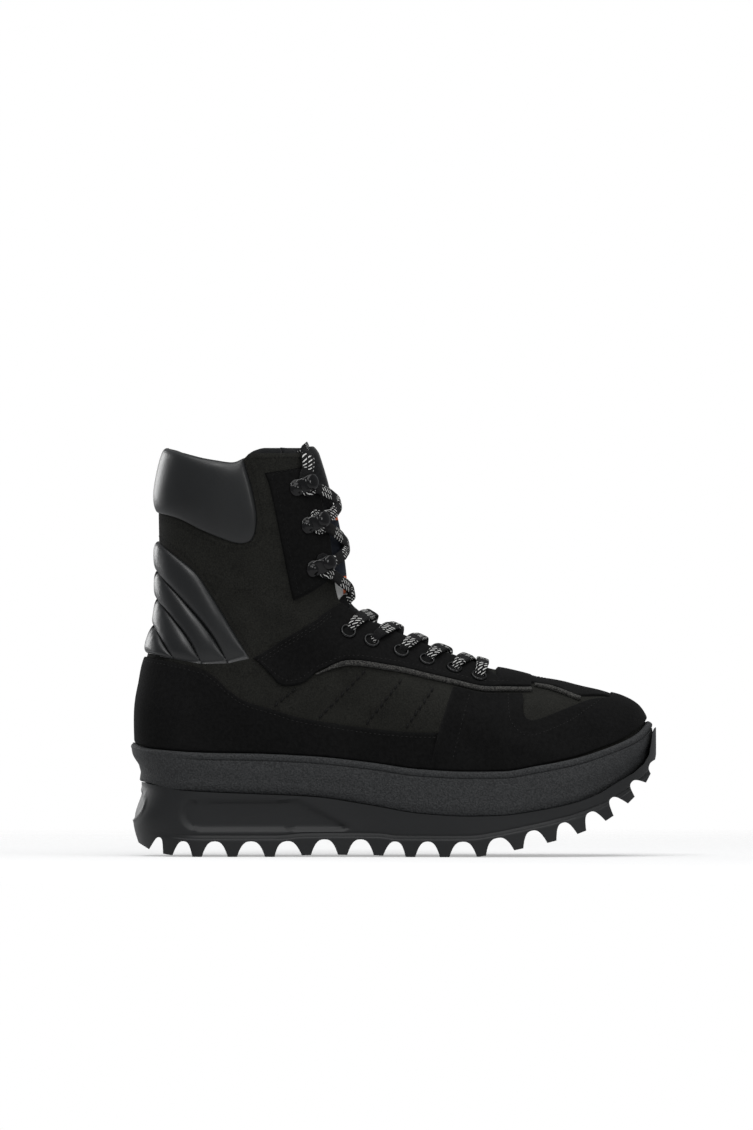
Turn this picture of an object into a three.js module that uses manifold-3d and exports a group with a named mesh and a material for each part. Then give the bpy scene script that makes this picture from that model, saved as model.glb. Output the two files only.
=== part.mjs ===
// High-top sneaker, right shoe, in millimetres: toe along +X, up is +Z, outer side on -Y
import * as THREE from 'three';
import { mergeVertices } from 'three/addons/utils/BufferGeometryUtils.js';
import Module from 'manifold-3d';

const wasm = await Module();
wasm.setup();
const { Manifold, Mesh } = wasm;

// Driving sizes of the last and the sole
const length = 300;
const ballWidth = 104;
const heelWidth = 77;
const bootHeight = 236;
const soleHeight = 44;
const randFloor = 6;
const toeSwing = 5;
const tongueSlack = 0.5;

// Walls, layers and clearances
const gap = 0.35;
const wall = 2.2;
const suede = 1.5;
const randWall = 3.2;
const pipingHeight = 2.4;
const pipingWidth = 2.8;
const insoleThickness = 4;
const insoleRim = 2;

// Tread
const lugTip = 8;
const lugDepth = 9;
const lugFoot = 0.6;
const settle = 0.25;
const bumperCut = 2;
const valleyFlare = 1;
const archSteps = 5;
const grooveShare = 0.16;
const grooveWidth = 5;
const grooveDepth = 6;
const windowDepth = 2.5;
const badgeDepth = 0.9;
const badgeWidth = 34;
const badgeHeight = 17;

// Padding
const collarLoft = 3.6;
const ribLoft = 3.4;
const ribSeam = 1.1;
const padRim = 1;

// Fastening
const eyeletOuter = 4.8;
const eyeletHole = 3.3;
const eyeletProud = 1.1;
const eyeletSeat = gap + suede + 0.7;
const hookBase = 4;
const hookRise = 5.4;
const hookButton = 4.3;
const hookArm = 4;
const laceWidth = 6;
const laceThickness = 2.8;
const laceClear = 0.4;
const hookShare = 0.62;

// Mesh fineness
const columns = 32;
const reach = 90;

const heelSeat = soleHeight + randFloor;
const shaftRise = bootHeight - heelSeat;
const heelRound = 0.47 * heelWidth;

// Rings of the last from feather line to collar. at: percent of length, up: percent of the shaft's rise,
// round: percent of length, heel and waist: shares of heel width, ball and toe: shares of ball width,
// hug: how far the ring follows the sole's curve
const lastColumns = [ 'level', 'backAt', 'backUp', 'frontAt', 'frontUp', 'round', 'heel', 'waist', 'ball', 'toe', 'hug' ];
const lastRows = [
	[ 0, 0.9, 0, 98.2, 6.5, 18.7, 0.95, 0.95, 0.99, 0.96, 1 ],
	[ 1, 0.67, 4.3, 98.8, 10.8, 19, 0.98, 0.98, 1, 0.97, 0.95 ],
	[ 2, 0.55, 8.6, 98.5, 15.1, 21.3, 0.99, 0.99, 1, 0.965, 0.85 ],
	[ 3, 0.55, 13.4, 97.2, 19.1, 27.3, 0.99, 1, 0.985, 0.95, 0.7 ],
	[ 4, 0.65, 18.3, 93.7, 22.6, 38.7, 0.98, 1, 0.955, 0.93, 0.5 ],
	[ 5, 1, 22.6, 85.7, 25.6, 48.7, 0.97, 0.99, 0.915, 0.9, 0.32 ],
	[ 6, 1.6, 26.9, 77, 28.8, 50.7, 0.96, 0.97, 0.87, 0.87, 0.18 ],
	[ 7, 2.1, 31.2, 67.7, 32.4, 46.7, 0.95, 0.955, 0.82, 0.83, 0.09 ],
	[ 8, 2.9, 35.5, 59, 37.4, 40.7, 0.94, 0.945, 0.78, 0.785, 0.04 ],
	[ 9, 3.8, 39.8, 51.3, 42.7, 34.7, 0.93, 0.935, 0.75, 0.75, 0 ],
	[ 10, 4.8, 45.2, 44.7, 47.8, 28, 0.925, 0.93, 0.725, 0.72, 0 ],
	[ 11, 5.4, 52.2, 41, 53.8, 21.3, 0.92, 0.925, 0.7, 0.695, 0 ],
	[ 12, 5.4, 61.8, 40.2, 62.9, 17.3, 0.92, 0.925, 0.695, 0.69, 0 ],
	[ 13, 5.2, 72, 39.3, 72.6, 15.3, 0.93, 0.935, 0.7, 0.695, 0 ],
	[ 14, 5.1, 82.3, 38, 82.3, 14.7, 0.95, 0.95, 0.71, 0.7, 0 ],
	[ 15, 5.9, 91.4, 36.7, 91.4, 14.3, 0.965, 0.965, 0.715, 0.705, 0 ],
	[ 16, 7.1, 100, 35.2, 100, 14, 0.95, 0.955, 0.7, 0.69, 0 ],
];
const last = lastRows.map( ( row ) => Object.fromEntries( row.map( ( value, k ) => [ lastColumns[ k ], value ] ) ) );
const collarLevel = last.length - 1;

// Where along a ring its four half widths lie, as shares of the way from heel to front
const stations = { heel: 0.12, waist: 0.42, ball: 0.72, toe: 0.92 };

// The two sides of a right shoe: the inner waist is narrower, the inner ball lies further forward
const sides = {
	lateral: { sign: - 1, heel: 1, waist: 1.04, ball: 1.01, toe: 0.97 },
	medial: { sign: 1, heel: 1, waist: 0.92, ball: 0.99, toe: 1.03 },
};

// Height lines of the sole. at: percent of length, top and rand: percent of sole height
const soleLines = [
	{ at: 0, top: 100, rand: 152 },
	{ at: 3.3, top: 95.5, rand: 143 },
	{ at: 8, top: 88, rand: 139 },
	{ at: 14.3, top: 85, rand: 136.5 },
	{ at: 23.3, top: 82.5, rand: 135.5 },
	{ at: 34.3, top: 79, rand: 132 },
	{ at: 45.3, top: 68, rand: 124 },
	{ at: 55, top: 57, rand: 115 },
	{ at: 64.3, top: 53.5, rand: 112 },
	{ at: 70.7, top: 54.5, rand: 112.5 },
	{ at: 76.8, top: 60, rand: 119 },
	{ at: 85, top: 71.5, rand: 131 },
	{ at: 91, top: 88, rand: 145 },
	{ at: 94, top: 101, rand: 154 },
	{ at: 96.2, top: 113, rand: 163 },
	{ at: 97.8, top: 121, rand: 174 },
	{ at: 98.8, top: 128, rand: 184 },
	{ at: 100.5, top: 141, rand: 192 },
];

// Lug tips in the side view, heel to toe. at: percent of length, up: percent of sole height
const treadLine = [
	{ at: - 0.3, up: 34 },
	{ at: 0.4, up: 19 },
	{ at: 3, up: 8 },
	{ at: 7, up: 2.5 },
	{ at: 12, up: 0 },
	{ at: 27, up: 0 },
	{ at: 33, up: 3 },
	{ at: 46.5, up: 3 },
	{ at: 51.5, up: 0 },
	{ at: 64, up: 0 },
	{ at: 68.5, up: 3.5 },
	{ at: 74, up: 11 },
	{ at: 80.5, up: 21 },
	{ at: 86.2, up: 33 },
	{ at: 91.6, up: 51 },
	{ at: 95.8, up: 75 },
	{ at: 99.2, up: 103 },
	{ at: 100.9, up: 141 },
	{ at: 101, up: 170 },
];

// Middles of the lugs, heel to toe, in percent of length
const lugMiddles = [ 1.7, 6.2, 11.9, 18.7, 25.9, 33, 40, 46.9, 53.1, 59.7, 66.8, 74, 80.4, 86.2, 91.6, 95.8, 99.2, 100.7 ];

// Upper edge of the toe bumper in the side view
const bumperEdge = [
	{ at: 92, up: 93.5 },
	{ at: 94, up: 101.5 },
	{ at: 96.2, up: 110 },
	{ at: 98.2, up: 121.6 },
	{ at: 99.3, up: 134 },
	{ at: 99.7, up: 150 },
	{ at: 99.9, up: 162 },
	{ at: 100.3, up: 168 },
	{ at: 100.7, up: 170 },
];

// How far the outsole stands out past the feather line, in mm, at heights in percent of sole height
const soleFlare = [
	{ up: - 10, side: 4.2, heel: - 5, toe: 1 },
	{ up: 16, side: 4.6, heel: - 1, toe: 2 },
	{ up: 19.5, side: 3.4, heel: 1, toe: 2.5 },
	{ up: 50, side: 3.2, heel: 4.4, toe: 4 },
	{ up: 80, side: 4.4, heel: 0.7, toe: 5.4 },
	{ up: 90, side: 4.3, heel: - 0.6, toe: 6.2 },
	{ up: 140, side: 4.4, heel: 1, toe: 7.4 },
	{ up: 200, side: 4.4, heel: 1, toe: 7.2 },
];

// Half width of the throat opening in mm, by level
const throat = [
	{ level: 6.75, half: 0.5 },
	{ level: 6.85, half: 5.5 },
	{ level: 7.05, half: 8 },
	{ level: 7.5, half: 9.5 },
	{ level: 8.5, half: 10 },
	{ level: 10, half: 12 },
	{ level: 11, half: 15 },
	{ level: 12, half: 17 },
	{ level: 13.5, half: 17.5 },
	{ level: 15, half: 19 },
	{ level: 16, half: 22 },
	{ level: 17.2, half: 26 },
];

// Tongue. half: half width in mm, lift: outer face at the middle off the last, thick: padding at the middle
const tongueRows = [
	{ level: 6.4, half: 17, lift: - 3, thick: 2 },
	{ level: 7, half: 19, lift: - 3, thick: 2.5 },
	{ level: 7.6, half: 20, lift: - 1.8, thick: 3.5 },
	{ level: 8.5, half: 22, lift: - 0.4, thick: 5 },
	{ level: 10, half: 25, lift: 0, thick: 6 },
	{ level: 11, half: 27, lift: 0, thick: 6 },
	{ level: 12, half: 28, lift: 0.4, thick: 6 },
	{ level: 14, half: 28, lift: 0.8, thick: 6 },
	{ level: 16.1, half: 29, lift: 0, thick: 5 },
];

// Edges in the side view, as [percent of length, percent of the shaft's rise]
const collarEdge = [
	[ 3, 101 ], [ 7, 100 ], [ 9.1, 98.7 ], [ 14.5, 96.5 ], [ 18.7, 95.6 ],
	[ 20.9, 97.2 ], [ 21.8, 98.4 ], [ 22.9, 98.9 ], [ 27, 98.9 ], [ 32, 98.9 ],
	[ 38, 100 ],
];
const counterTop = [
	[ - 3, 36 ], [ 2, 35 ], [ 7.3, 33.7 ], [ 12.7, 31.6 ], [ 15.1, 29.2 ],
	[ 18, 25 ], [ 21.2, 21.6 ], [ 26.5, 19 ], [ 30.5, 16.9 ], [ 35, 15.5 ],
	[ 44.6, 13.2 ], [ 52.8, 12 ], [ 58.8, 11.8 ],
];
const panelRear = [
	[ 61.3, 26 ], [ 60.1, 19.7 ], [ 59.1, 13.5 ], [ 58.6, 9.8 ], [ 57.8, 3.8 ],
	[ 57, - 8 ],
];
const pipingLine = [
	[ 32, 27 ], [ 34.8, 29.9 ], [ 38.5, 32.4 ], [ 40.8, 33.3 ], [ 43.8, 33.1 ],
	[ 46.9, 32.3 ], [ 51.4, 31 ], [ 56.4, 29.1 ], [ 61.3, 27.2 ], [ 65.3, 25.7 ],
	[ 68.2, 25 ], [ 72.3, 25 ], [ 76.3, 25 ],
];
const stripLine = [ [ 77, 26.4 ], [ 80.9, 24.7 ], [ 85.8, 21.9 ] ];
const windowEdge = [
	[ 74.8, 23.4 ], [ 74.8, 17.6 ], [ 75.8, 15.8 ], [ 77.4, 15.7 ], [ 82, 18.4 ],
	[ 87, 21.4 ], [ 90.6, 22.2 ],
];
const wingUpper = [
	[ 22.5, 34.8 ], [ 26, 38.1 ], [ 29.3, 41.6 ], [ 35, 47 ], [ 36.4, 49 ],
	[ 37.9, 50.6 ], [ 41, 51.2 ],
];
const wingLower = [ [ 29.3, 26.3 ], [ 27.6, 27 ], [ 26.6, 28.8 ], [ 23.6, 34.2 ] ];
const hookPanelRear = [
	[ 32.4, 95 ], [ 28.2, 94.6 ], [ 24.9, 92.7 ], [ 26, 87.7 ], [ 27.8, 73.7 ],
	[ 29.4, 60.7 ], [ 30.4, 52.8 ], [ 35.5, 58.1 ], [ 38.2, 60 ],
];
const heelWindow = [ [ 9.3, - 9.2 ], [ 31.7, - 9.4 ], [ 41.3, - 18 ], [ 39.8, - 18.6 ], [ 9.3, - 18 ] ];

// Padded pieces: seam lines from the middle of the heel to their ends, low seam first
const collarLines = [
	[ [ 5, 80.3 ], [ 8.7, 78.4 ], [ 12.7, 74.9 ], [ 16.6, 72.2 ], [ 19.3, 71 ], [ 21.8, 71.6 ] ],
	[ [ 5, 100.4 ], [ 9.1, 98.9 ], [ 12.5, 97.4 ], [ 15.5, 96.5 ], [ 18.7, 95.9 ], [ 20.8, 97.4 ] ],
];
const collarEnd = 2;
const ribLines = [
	[ [ 3, 37 ], [ 4, 36.2 ], [ 5.2, 35.2 ] ],
	[ [ 3.6, 45.4 ], [ 4.4, 45 ], [ 5.9, 39.8 ], [ 7.6, 34.6 ] ],
	[ [ 4, 54 ], [ 5.2, 53 ], [ 7.6, 47.6 ], [ 10.4, 40.9 ], [ 12.8, 33.2 ] ],
	[ [ 4, 62.6 ], [ 5.4, 61.4 ], [ 6.5, 58.2 ], [ 11, 50 ], [ 14.5, 42.6 ], [ 17.9, 33.4 ] ],
	[ [ 4, 71.4 ], [ 6, 69.8 ], [ 8.7, 66 ], [ 11.8, 61.5 ], [ 14.5, 55 ], [ 18, 45.9 ], [ 22, 34.9 ] ],
];

// Fastening places in the side view, low row first, with the level where their row meets the front's middle
const eyelets = [
	{ spot: [ 66.2, 28.9 ], ridge: 7.1 },
	{ spot: [ 61.4, 31.2 ], ridge: 7.6, bridge: 0.85 },
	{ spot: [ 56.1, 33.8 ], ridge: 8.2, bridge: 0.65 },
	{ spot: [ 51.1, 36.5 ], ridge: 8.8, bridge: 0.45 },
	{ spot: [ 45.4, 39.8 ], ridge: 9.5, bridge: 0.35 },
	{ spot: [ 40.9, 42.8 ], ridge: 10.3, bridge: 0.4 },
];
const hooks = [
	{ base: [ 34.1, 62.8 ], button: [ 36.2, 64.6 ], ridge: 12, bridge: 1 },
	{ base: [ 33, 76.3 ], button: [ 35, 77.9 ], ridge: 13.4 },
	{ base: [ 30.8, 88 ], button: [ 32.8, 89.5 ], ridge: 14.7 },
];

// Plain arithmetic
const lerp = THREE.MathUtils.lerp;
const clamp = THREE.MathUtils.clamp;
const ease = THREE.MathUtils.smoothstep;

// Smooth value between the rows of a table, with no overshoot, straight on past its ends
function follow( rows, key, value, x ) {

	const end = rows.length - 1;
	const rise = ( k ) => ( rows[ k + 1 ][ value ] - rows[ k ][ value ] ) / ( rows[ k + 1 ][ key ] - rows[ k ][ key ] );
	const slope = ( k ) => {

		if ( k === 0 ) return rise( 0 );
		if ( k === end ) return rise( end - 1 );
		const before = rise( k - 1 );
		const after = rise( k );
		return before * after > 0 ? 2 * before * after / ( before + after ) : 0;

	};

	if ( x <= rows[ 0 ][ key ] ) return rows[ 0 ][ value ] + slope( 0 ) * ( x - rows[ 0 ][ key ] );
	if ( x >= rows[ end ][ key ] ) return rows[ end ][ value ] + slope( end ) * ( x - rows[ end ][ key ] );
	let i = 0;
	while ( rows[ i + 1 ][ key ] < x ) i ++;
	const span = rows[ i + 1 ][ key ] - rows[ i ][ key ];
	const f = ( x - rows[ i ][ key ] ) / span;
	const g = 1 - f;
	const start = rows[ i ][ value ] * ( 1 + 2 * f ) * g * g + slope( i ) * span * f * g * g;
	const stop = rows[ i + 1 ][ value ] * ( 3 - 2 * f ) * f * f - slope( i + 1 ) * span * g * f * f;
	return start + stop;

}

// From shares to millimetres
const placeX = ( at ) => at / 100 * length;
const placeZ = ( up ) => heelSeat + up / 100 * shaftRise;
const soleZ = ( up ) => up / 100 * soleHeight;
const soleTop = ( x ) => soleZ( follow( soleLines, 'at', 'top', x / length * 100 ) );
const randTop = ( x ) => soleZ( follow( soleLines, 'at', 'rand', x / length * 100 ) );
const seat = ( x ) => soleTop( x ) + randFloor;
const sidePoint = ( [ at, up ] ) => new THREE.Vector2( placeX( at ), placeZ( up ) );
const solePoint = ( row ) => new THREE.Vector2( placeX( row.at ), soleZ( row.up ) );

// The ring of the last at a level
const ringStore = new Map();
function ringAt( level ) {

	if ( ringStore.has( level ) ) return ringStore.get( level );
	const pick = ( value ) => follow( last, 'level', value, level );
	const ring = {
		backX: placeX( pick( 'backAt' ) ),
		backZ: placeZ( pick( 'backUp' ) ),
		frontX: placeX( pick( 'frontAt' ) ),
		frontZ: placeZ( pick( 'frontUp' ) ),
		round: placeX( pick( 'round' ) ),
		hug: clamp( pick( 'hug' ), 0, 1 ),
		widths: [
			{ name: 'heel', s: stations.heel, half: pick( 'heel' ) * heelWidth / 2 },
			{ name: 'waist', s: stations.waist, half: pick( 'waist' ) * heelWidth / 2 },
			{ name: 'ball', s: stations.ball, half: pick( 'ball' ) * ballWidth / 2 },
			{ name: 'toe', s: stations.toe, half: pick( 'toe' ) * ballWidth / 2 },
		],
	};
	ringStore.set( level, ring );
	return ring;

}

// Height of a ring: between its ends, sagging to the sole's curve near the feather line
function ringHeight( ring, s ) {

	const x = lerp( ring.backX, ring.frontX, s );
	if ( ring.hug === 1 ) return seat( x );
	const sag = seat( x ) - lerp( seat( ring.backX ), seat( ring.frontX ), s );
	return lerp( ring.backZ, ring.frontZ, s ) + ring.hug * sag;

}

// Half width of a ring on one side
function ringHalf( ring, s, side ) {

	const rows = ring.widths.map( ( row ) => ( { s: row.s, half: row.half * lerp( 1, side[ row.name ], ring.hug ) } ) );
	const run = ring.frontX - ring.backX;
	const arc = ( q ) => Math.sqrt( 1 - ( 1 - Math.min( q, 1 ) ) ** 2 );
	const half = follow( rows, 's', 'half', clamp( s, stations.heel, stations.toe ) );
	return half * arc( s * run / heelRound ) * arc( ( 1 - s ) * run / ring.round );

}

// A point of the last. u runs from -1 at the front over the outer side, 0 at the heel, to 1 at the front
const wrap = ( u ) => ( u > 1 ? u - 2 : u < - 1 ? u + 2 : u );
const share = ( u ) => Math.sin( Math.PI * Math.abs( u ) / 2 ) ** 2;
const swing = ( x ) => toeSwing * Math.max( 0, x / length - 0.55 ) ** 2 / 0.2;
function lastPoint( u, level ) {

	const ring = ringAt( level );
	const side = wrap( u ) < 0 ? sides.lateral : sides.medial;
	const s = share( wrap( u ) );
	const x = lerp( ring.backX, ring.frontX, s );
	return new THREE.Vector3( x, swing( x ) + side.sign * ringHalf( ring, s, side ), ringHeight( ring, s ) );

}

// The last's outward normal, and a point at a distance off it
const step = 0.004;
function lastNormal( u, level ) {

	const across = lastPoint( u + step, level ).sub( lastPoint( u - step, level ) );
	const upward = lastPoint( u, level + 5 * step ).sub( lastPoint( u, level - 5 * step ) );
	return upward.cross( across ).normalize();

}

function offLast( u, level, off ) {

	return lastPoint( u, level ).addScaledVector( lastNormal( u, level ), off );

}

// A point off the feather line in plan, at any height
function offFeather( u, off, z ) {

	const point = lastPoint( u, 0 );
	const along = lastPoint( u + step, 0 ).sub( lastPoint( u - step, 0 ) );
	const out = new THREE.Vector2( - along.y, along.x ).normalize();
	return new THREE.Vector3( point.x + out.x * off, point.y + out.y * off, z );

}

// Find u and level under a side view point, and u at a distance from the front's middle
function under( at, up ) {

	const x = placeX( at );
	const z = placeZ( up );
	let low = - 0.5;
	let high = collarLevel + 1;
	let s = 0;
	for ( let i = 0; i < 40; i ++ ) {

		const level = ( low + high ) / 2;
		const ring = ringAt( level );
		s = ( x - ring.backX ) / ( ring.frontX - ring.backX );
		if ( s > 1 || ringHeight( ring, clamp( s, 0, 1 ) ) > z ) high = level;
		else low = level;

	}

	return { u: 2 / Math.PI * Math.asin( Math.sqrt( clamp( s, 0, 1 ) ) ), level: ( low + high ) / 2 };

}

function frontU( level, y ) {

	const ring = ringAt( level );
	let low = 0.5;
	let high = 1;
	for ( let i = 0; i < 30; i ++ ) {

		const u = ( low + high ) / 2;
		if ( ringHalf( ring, share( u ), sides.medial ) > Math.abs( y ) ) low = u;
		else high = u;

	}

	return Math.sign( y ) * ( low + high ) / 2;

}

// Closed solids from rows of points
function solid( points, faces ) {

	const vertProperties = new Float32Array( points.flatMap( ( p ) => [ p.x, p.y, p.z ] ) );
	const build = ( list ) => new Manifold( new Mesh( { numProp: 3, vertProperties, triVerts: new Uint32Array( list.flat() ) } ) );
	const body = build( faces );
	return body.volume() > 0 ? body : build( faces.map( ( [ a, b, c ] ) => [ a, c, b ] ) );

}

// Rings one above the other, closed by ladders between their two sides
function stack( rings ) {

	const count = rings[ 0 ].length;
	const faces = [];
	for ( let i = 0; i < rings.length - 1; i ++ ) {

		for ( let j = 0; j < count; j ++ ) {

			const k = ( j + 1 ) % count;
			const a = i * count;
			faces.push( [ a + j, a + k, a + count + k ], [ a + j, a + count + k, a + count + j ] );

		}

	}

	const ladder = ( base, flip ) => {

		const add = ( a, b, c ) => faces.push( flip ? [ base + a, base + c, base + b ] : [ base + a, base + b, base + c ] );
		for ( let k = 0; k < count / 2; k ++ ) {

			const far = ( count - k ) % count;
			const next = count - k - 1;
			if ( k > 0 ) add( k, far, next );
			if ( k + 1 < next ) add( k, next, k + 1 );

		}

	};

	ladder( 0, false );
	ladder( ( rings.length - 1 ) * count, true );
	return solid( rings.flat(), faces );

}

// A sheet of points and its back, closed along the edges
function plate( front, back ) {

	const rows = front.length;
	const wide = front[ 0 ].length;
	const total = rows * wide;
	const faces = [];
	const quad = ( a, b, c, d ) => faces.push( [ a, b, c ], [ a, c, d ] );
	for ( let i = 0; i < rows - 1; i ++ ) {

		for ( let j = 0; j < wide - 1; j ++ ) {

			const a = i * wide + j;
			quad( a, a + 1, a + wide + 1, a + wide );
			quad( total + a, total + a + wide, total + a + wide + 1, total + a + 1 );

		}

	}

	for ( let j = 0; j < wide - 1; j ++ ) {

		const top = ( rows - 1 ) * wide + j;
		quad( j + 1, j, total + j, total + j + 1 );
		quad( top, top + 1, total + top + 1, total + top );

	}

	for ( let i = 0; i < rows - 1; i ++ ) {

		const a = i * wide;
		const b = a + wide - 1;
		quad( a, a + wide, total + a + wide, total + a );
		quad( b + wide, b, total + b, total + b + wide );

	}

	return solid( [ ...front.flat(), ...back.flat() ], faces );

}

// Rings that close on themselves both ways, as a wall with two faces
function sleeve( rings ) {

	const count = rings[ 0 ].length;
	const faces = [];
	rings.forEach( ( ring, i ) => {

		const a = i * count;
		const b = ( ( i + 1 ) % rings.length ) * count;
		for ( let j = 0; j < count; j ++ ) {

			const k = ( j + 1 ) % count;
			faces.push( [ a + j, a + k, b + k ], [ a + j, b + k, b + j ] );

		}

	} );
	return solid( rings.flat(), faces );

}

const ringPlaces = Array.from( { length: columns }, ( _, j ) => wrap( 2 * j / columns ) );
const wallLevels = [ 0, 1, 2, 3, 4, 5.5, 7, 8.5, 10, 11, 12, 14, 16 ];
const lastRing = ( level, off ) => ringPlaces.map( ( u ) => offLast( u, level, off ) );

// The filled form of the last at a distance off it
const filled = ( off ) => stack( wallLevels.map( ( level ) => lastRing( level, off ) ) );

// A side view outline as a bar across the shoe, on one side or both
function bar( outline, side = 'both' ) {

	const geometry = new THREE.ExtrudeGeometry( new THREE.Shape( outline ), { depth: 2 * reach, bevelEnabled: false } );
	geometry.rotateX( Math.PI / 2 );
	const shift = { both: reach, lateral: - gap / 2, medial: 2 * reach + gap / 2 };
	geometry.translate( 0, shift[ side ], 0 );
	return fromGeometry( geometry );

}

function fromGeometry( geometry ) {

	geometry.deleteAttribute( 'normal' );
	geometry.deleteAttribute( 'uv' );
	const merged = mergeVertices( geometry, 1e-4 );
	return new Manifold( new Mesh( {
		numProp: 3,
		vertProperties: new Float32Array( merged.getAttribute( 'position' ).array ),
		triVerts: new Uint32Array( merged.getIndex().array ),
	} ) );

}

// A smooth run through side view points
function run( points, perSpan = 2 ) {

	const places = points.map( sidePoint );
	return new THREE.SplineCurve( places ).getPoints( perSpan * ( places.length - 1 ) );

}

const raised = ( points, mm ) => points.map( ( p ) => new THREE.Vector2( p.x, p.y + mm ) );
const corner = ( at, up ) => sidePoint( [ at, up ] );

// The rand's upper edge, run out past both ends of the shoe, and everything above or below it
function randEdge( clear ) {

	const edge = soleLines.map( ( row ) => new THREE.Vector2( placeX( row.at ), randTop( placeX( row.at ) ) + clear ) );
	const first = new THREE.Vector2( placeX( - 10 ), edge[ 0 ].y );
	const end = new THREE.Vector2( placeX( 110 ), edge[ edge.length - 1 ].y );
	return [ first, ...edge, end ];

}

const aboveRand = () => bar( [ ...randEdge( 0 ), corner( 110, 120 ), corner( - 10, 120 ) ] );
const belowRand = ( clear ) => bar( [ corner( - 10, - 38 ), corner( 110, - 38 ), ...randEdge( clear ).reverse() ] );

// The filled form of the rand, grown by a clearance
const randLevels = wallLevels.filter( ( level ) => level < 5 );
const randFoot = 2.4;
function randForm( grow ) {

	const foot = ringPlaces.map( ( u ) => {

		const place = offFeather( u, randFoot + grow, 0 );
		place.z = soleTop( place.x ) - grow;
		return place;

	} );
	return stack( [ foot, ...randLevels.map( ( level ) => lastRing( level, gap + randWall + grow ) ) ] );

}

function makeRand() {

	const floor = ringPlaces.map( ( u ) => {

		const place = offFeather( u, gap, 0 );
		place.z = seat( lastPoint( u, 0 ).x ) - gap;
		return place;

	} );
	const inside = stack( [ floor, ...wallLevels.map( ( level ) => lastRing( level, gap ) ) ] );
	return randForm( 0 ).subtract( inside ).subtract( aboveRand() );

}

// The side of the outsole in plan, drawn in by a depth
function soleSides( inset ) {

	return stack( soleFlare.map( ( row ) => ringPlaces.map( ( u ) => {

		const s = share( u );
		const back = 1 - ease( s, 0.015, 0.12 );
		const front = ease( s, 0.8, 0.96 );
		const off = row.side + back * ( row.heel - row.side ) + front * ( row.toe - row.side );
		return offFeather( u, off - inset, soleZ( row.up ) );

	} ) ) );

}

// The tread's curve, and a place on it with its direction
const treadCurve = new THREE.CatmullRomCurve3( treadLine.map( ( row ) => new THREE.Vector3( placeX( row.at ), 0, soleZ( row.up ) ) ) );
const treadLength = treadCurve.getLength();
function treadAt( distance ) {

	const along = clamp( distance / treadLength, 0, 1 );
	const point = treadCurve.getPointAt( along );
	const ahead = treadCurve.getTangentAt( along );
	return {
		point: new THREE.Vector2( point.x, Math.max( 0, point.z - settle ) ),
		ahead: new THREE.Vector2( ahead.x, ahead.z ),
	};

}

// How far along the tread's curve a place in percent of length lies
function treadDistance( at ) {

	let low = 0;
	let high = 1;
	for ( let i = 0; i < 24; i ++ ) {

		const along = ( low + high ) / 2;
		if ( treadCurve.getPointAt( along ).x < placeX( at ) ) low = along;
		else high = along;

	}

	return low * treadLength;

}

// A valley between two lugs, arched at its top
function valley( from, to ) {

	const { point, ahead } = treadAt( ( from + to ) / 2 );
	const inward = new THREE.Vector2( - ahead.y, ahead.x );
	const half = ( to - from - lugTip ) / 2;
	const deep = lerp( lugDepth, bumperCut, ease( ( from + to ) / 2 / treadLength, 0.86, 0.95 ) );
	const local = ( x, y ) => point.clone().addScaledVector( ahead, x ).addScaledVector( inward, y );
	const outline = [ local( - half - valleyFlare, - lugDepth ), local( half + valleyFlare, - lugDepth ) ];
	for ( let k = 0; k <= archSteps; k ++ ) {

		const turn = Math.PI * k / archSteps;
		outline.push( local( ( half + valleyFlare / 2 ) * Math.cos( turn ), deep * Math.sin( turn ) ) );

	}

	return bar( outline );

}

function makeOutsole() {

	const lugs = lugMiddles.map( treadDistance );
	const edges = lugs.flatMap( ( at ) => [ at - lugTip / 2 - lugFoot, at + lugTip / 2 + lugFoot ] );
	const tread = [ 0, ...edges, treadLength ].map( ( at ) => treadAt( at ).point );
	const rows = soleLines.filter( ( row ) => row.at < bumperEdge[ 0 ].at );
	const top = rows.map( ( row ) => new THREE.Vector2( placeX( row.at ), soleTop( placeX( row.at ) ) - gap ) );
	const start = new THREE.Vector2( placeX( - 3 ), top[ 0 ].y );
	const outline = [ start, ...top, ...bumperEdge.map( solePoint ), ...tread.reverse() ];
	let body = bar( outline ).intersect( soleSides( 0 ) ).subtract( randForm( gap ) );
	const recess = bar( heelWindow.map( sidePoint ) ).subtract( soleSides( windowDepth ) );
	body = body.subtract( recess );
	const oval = new THREE.CylinderGeometry( 0.5, 0.5, placeX( 5 ), 20 );
	oval.rotateZ( Math.PI / 2 );
	oval.scale( 1, badgeWidth, badgeHeight );
	oval.translate( 0, 0, soleZ( 67 ) );
	body = body.subtract( fromGeometry( oval ).subtract( soleSides( badgeDepth ) ) );
	lugs.slice( 1 ).forEach( ( at, k ) => {

		body = body.subtract( valley( lugs[ k ], at ) );

	} );
	return body.subtract( grooves( tread ) );

}

// Two grooves along the tread, following its curve
function grooves( tread ) {

	const inner = tread.filter( ( p ) => p.x > placeX( 5 ) && p.x < placeX( 92 ) );
	const deep = raised( inner, grooveDepth );
	const low = raised( inner, - 10 ).reverse();
	const slab = new THREE.ExtrudeGeometry( new THREE.Shape( [ ...deep, ...low ] ), { depth: grooveWidth, bevelEnabled: false } );
	slab.rotateX( Math.PI / 2 );
	const near = slab.clone().translate( 0, - grooveShare * ballWidth + grooveWidth / 2, 0 );
	const far = slab.clone().translate( 0, grooveShare * ballWidth + grooveWidth / 2, 0 );
	return fromGeometry( near ).add( fromGeometry( far ) );

}

function makeInsole() {

	const inset = wall + 2 * gap;
	const ring = ( off, rise ) => ringPlaces.map( ( u ) => {

		const place = offFeather( u, - off, 0 );
		place.z = seat( lastPoint( u, 0 ).x ) + rise;
		return place;

	} );
	const top = insoleThickness;
	return stack( [ ring( inset, 0 ), ring( inset, top + insoleRim ), ring( inset + 3, top + insoleRim ), ring( inset + 11, top ) ] );

}

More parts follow.
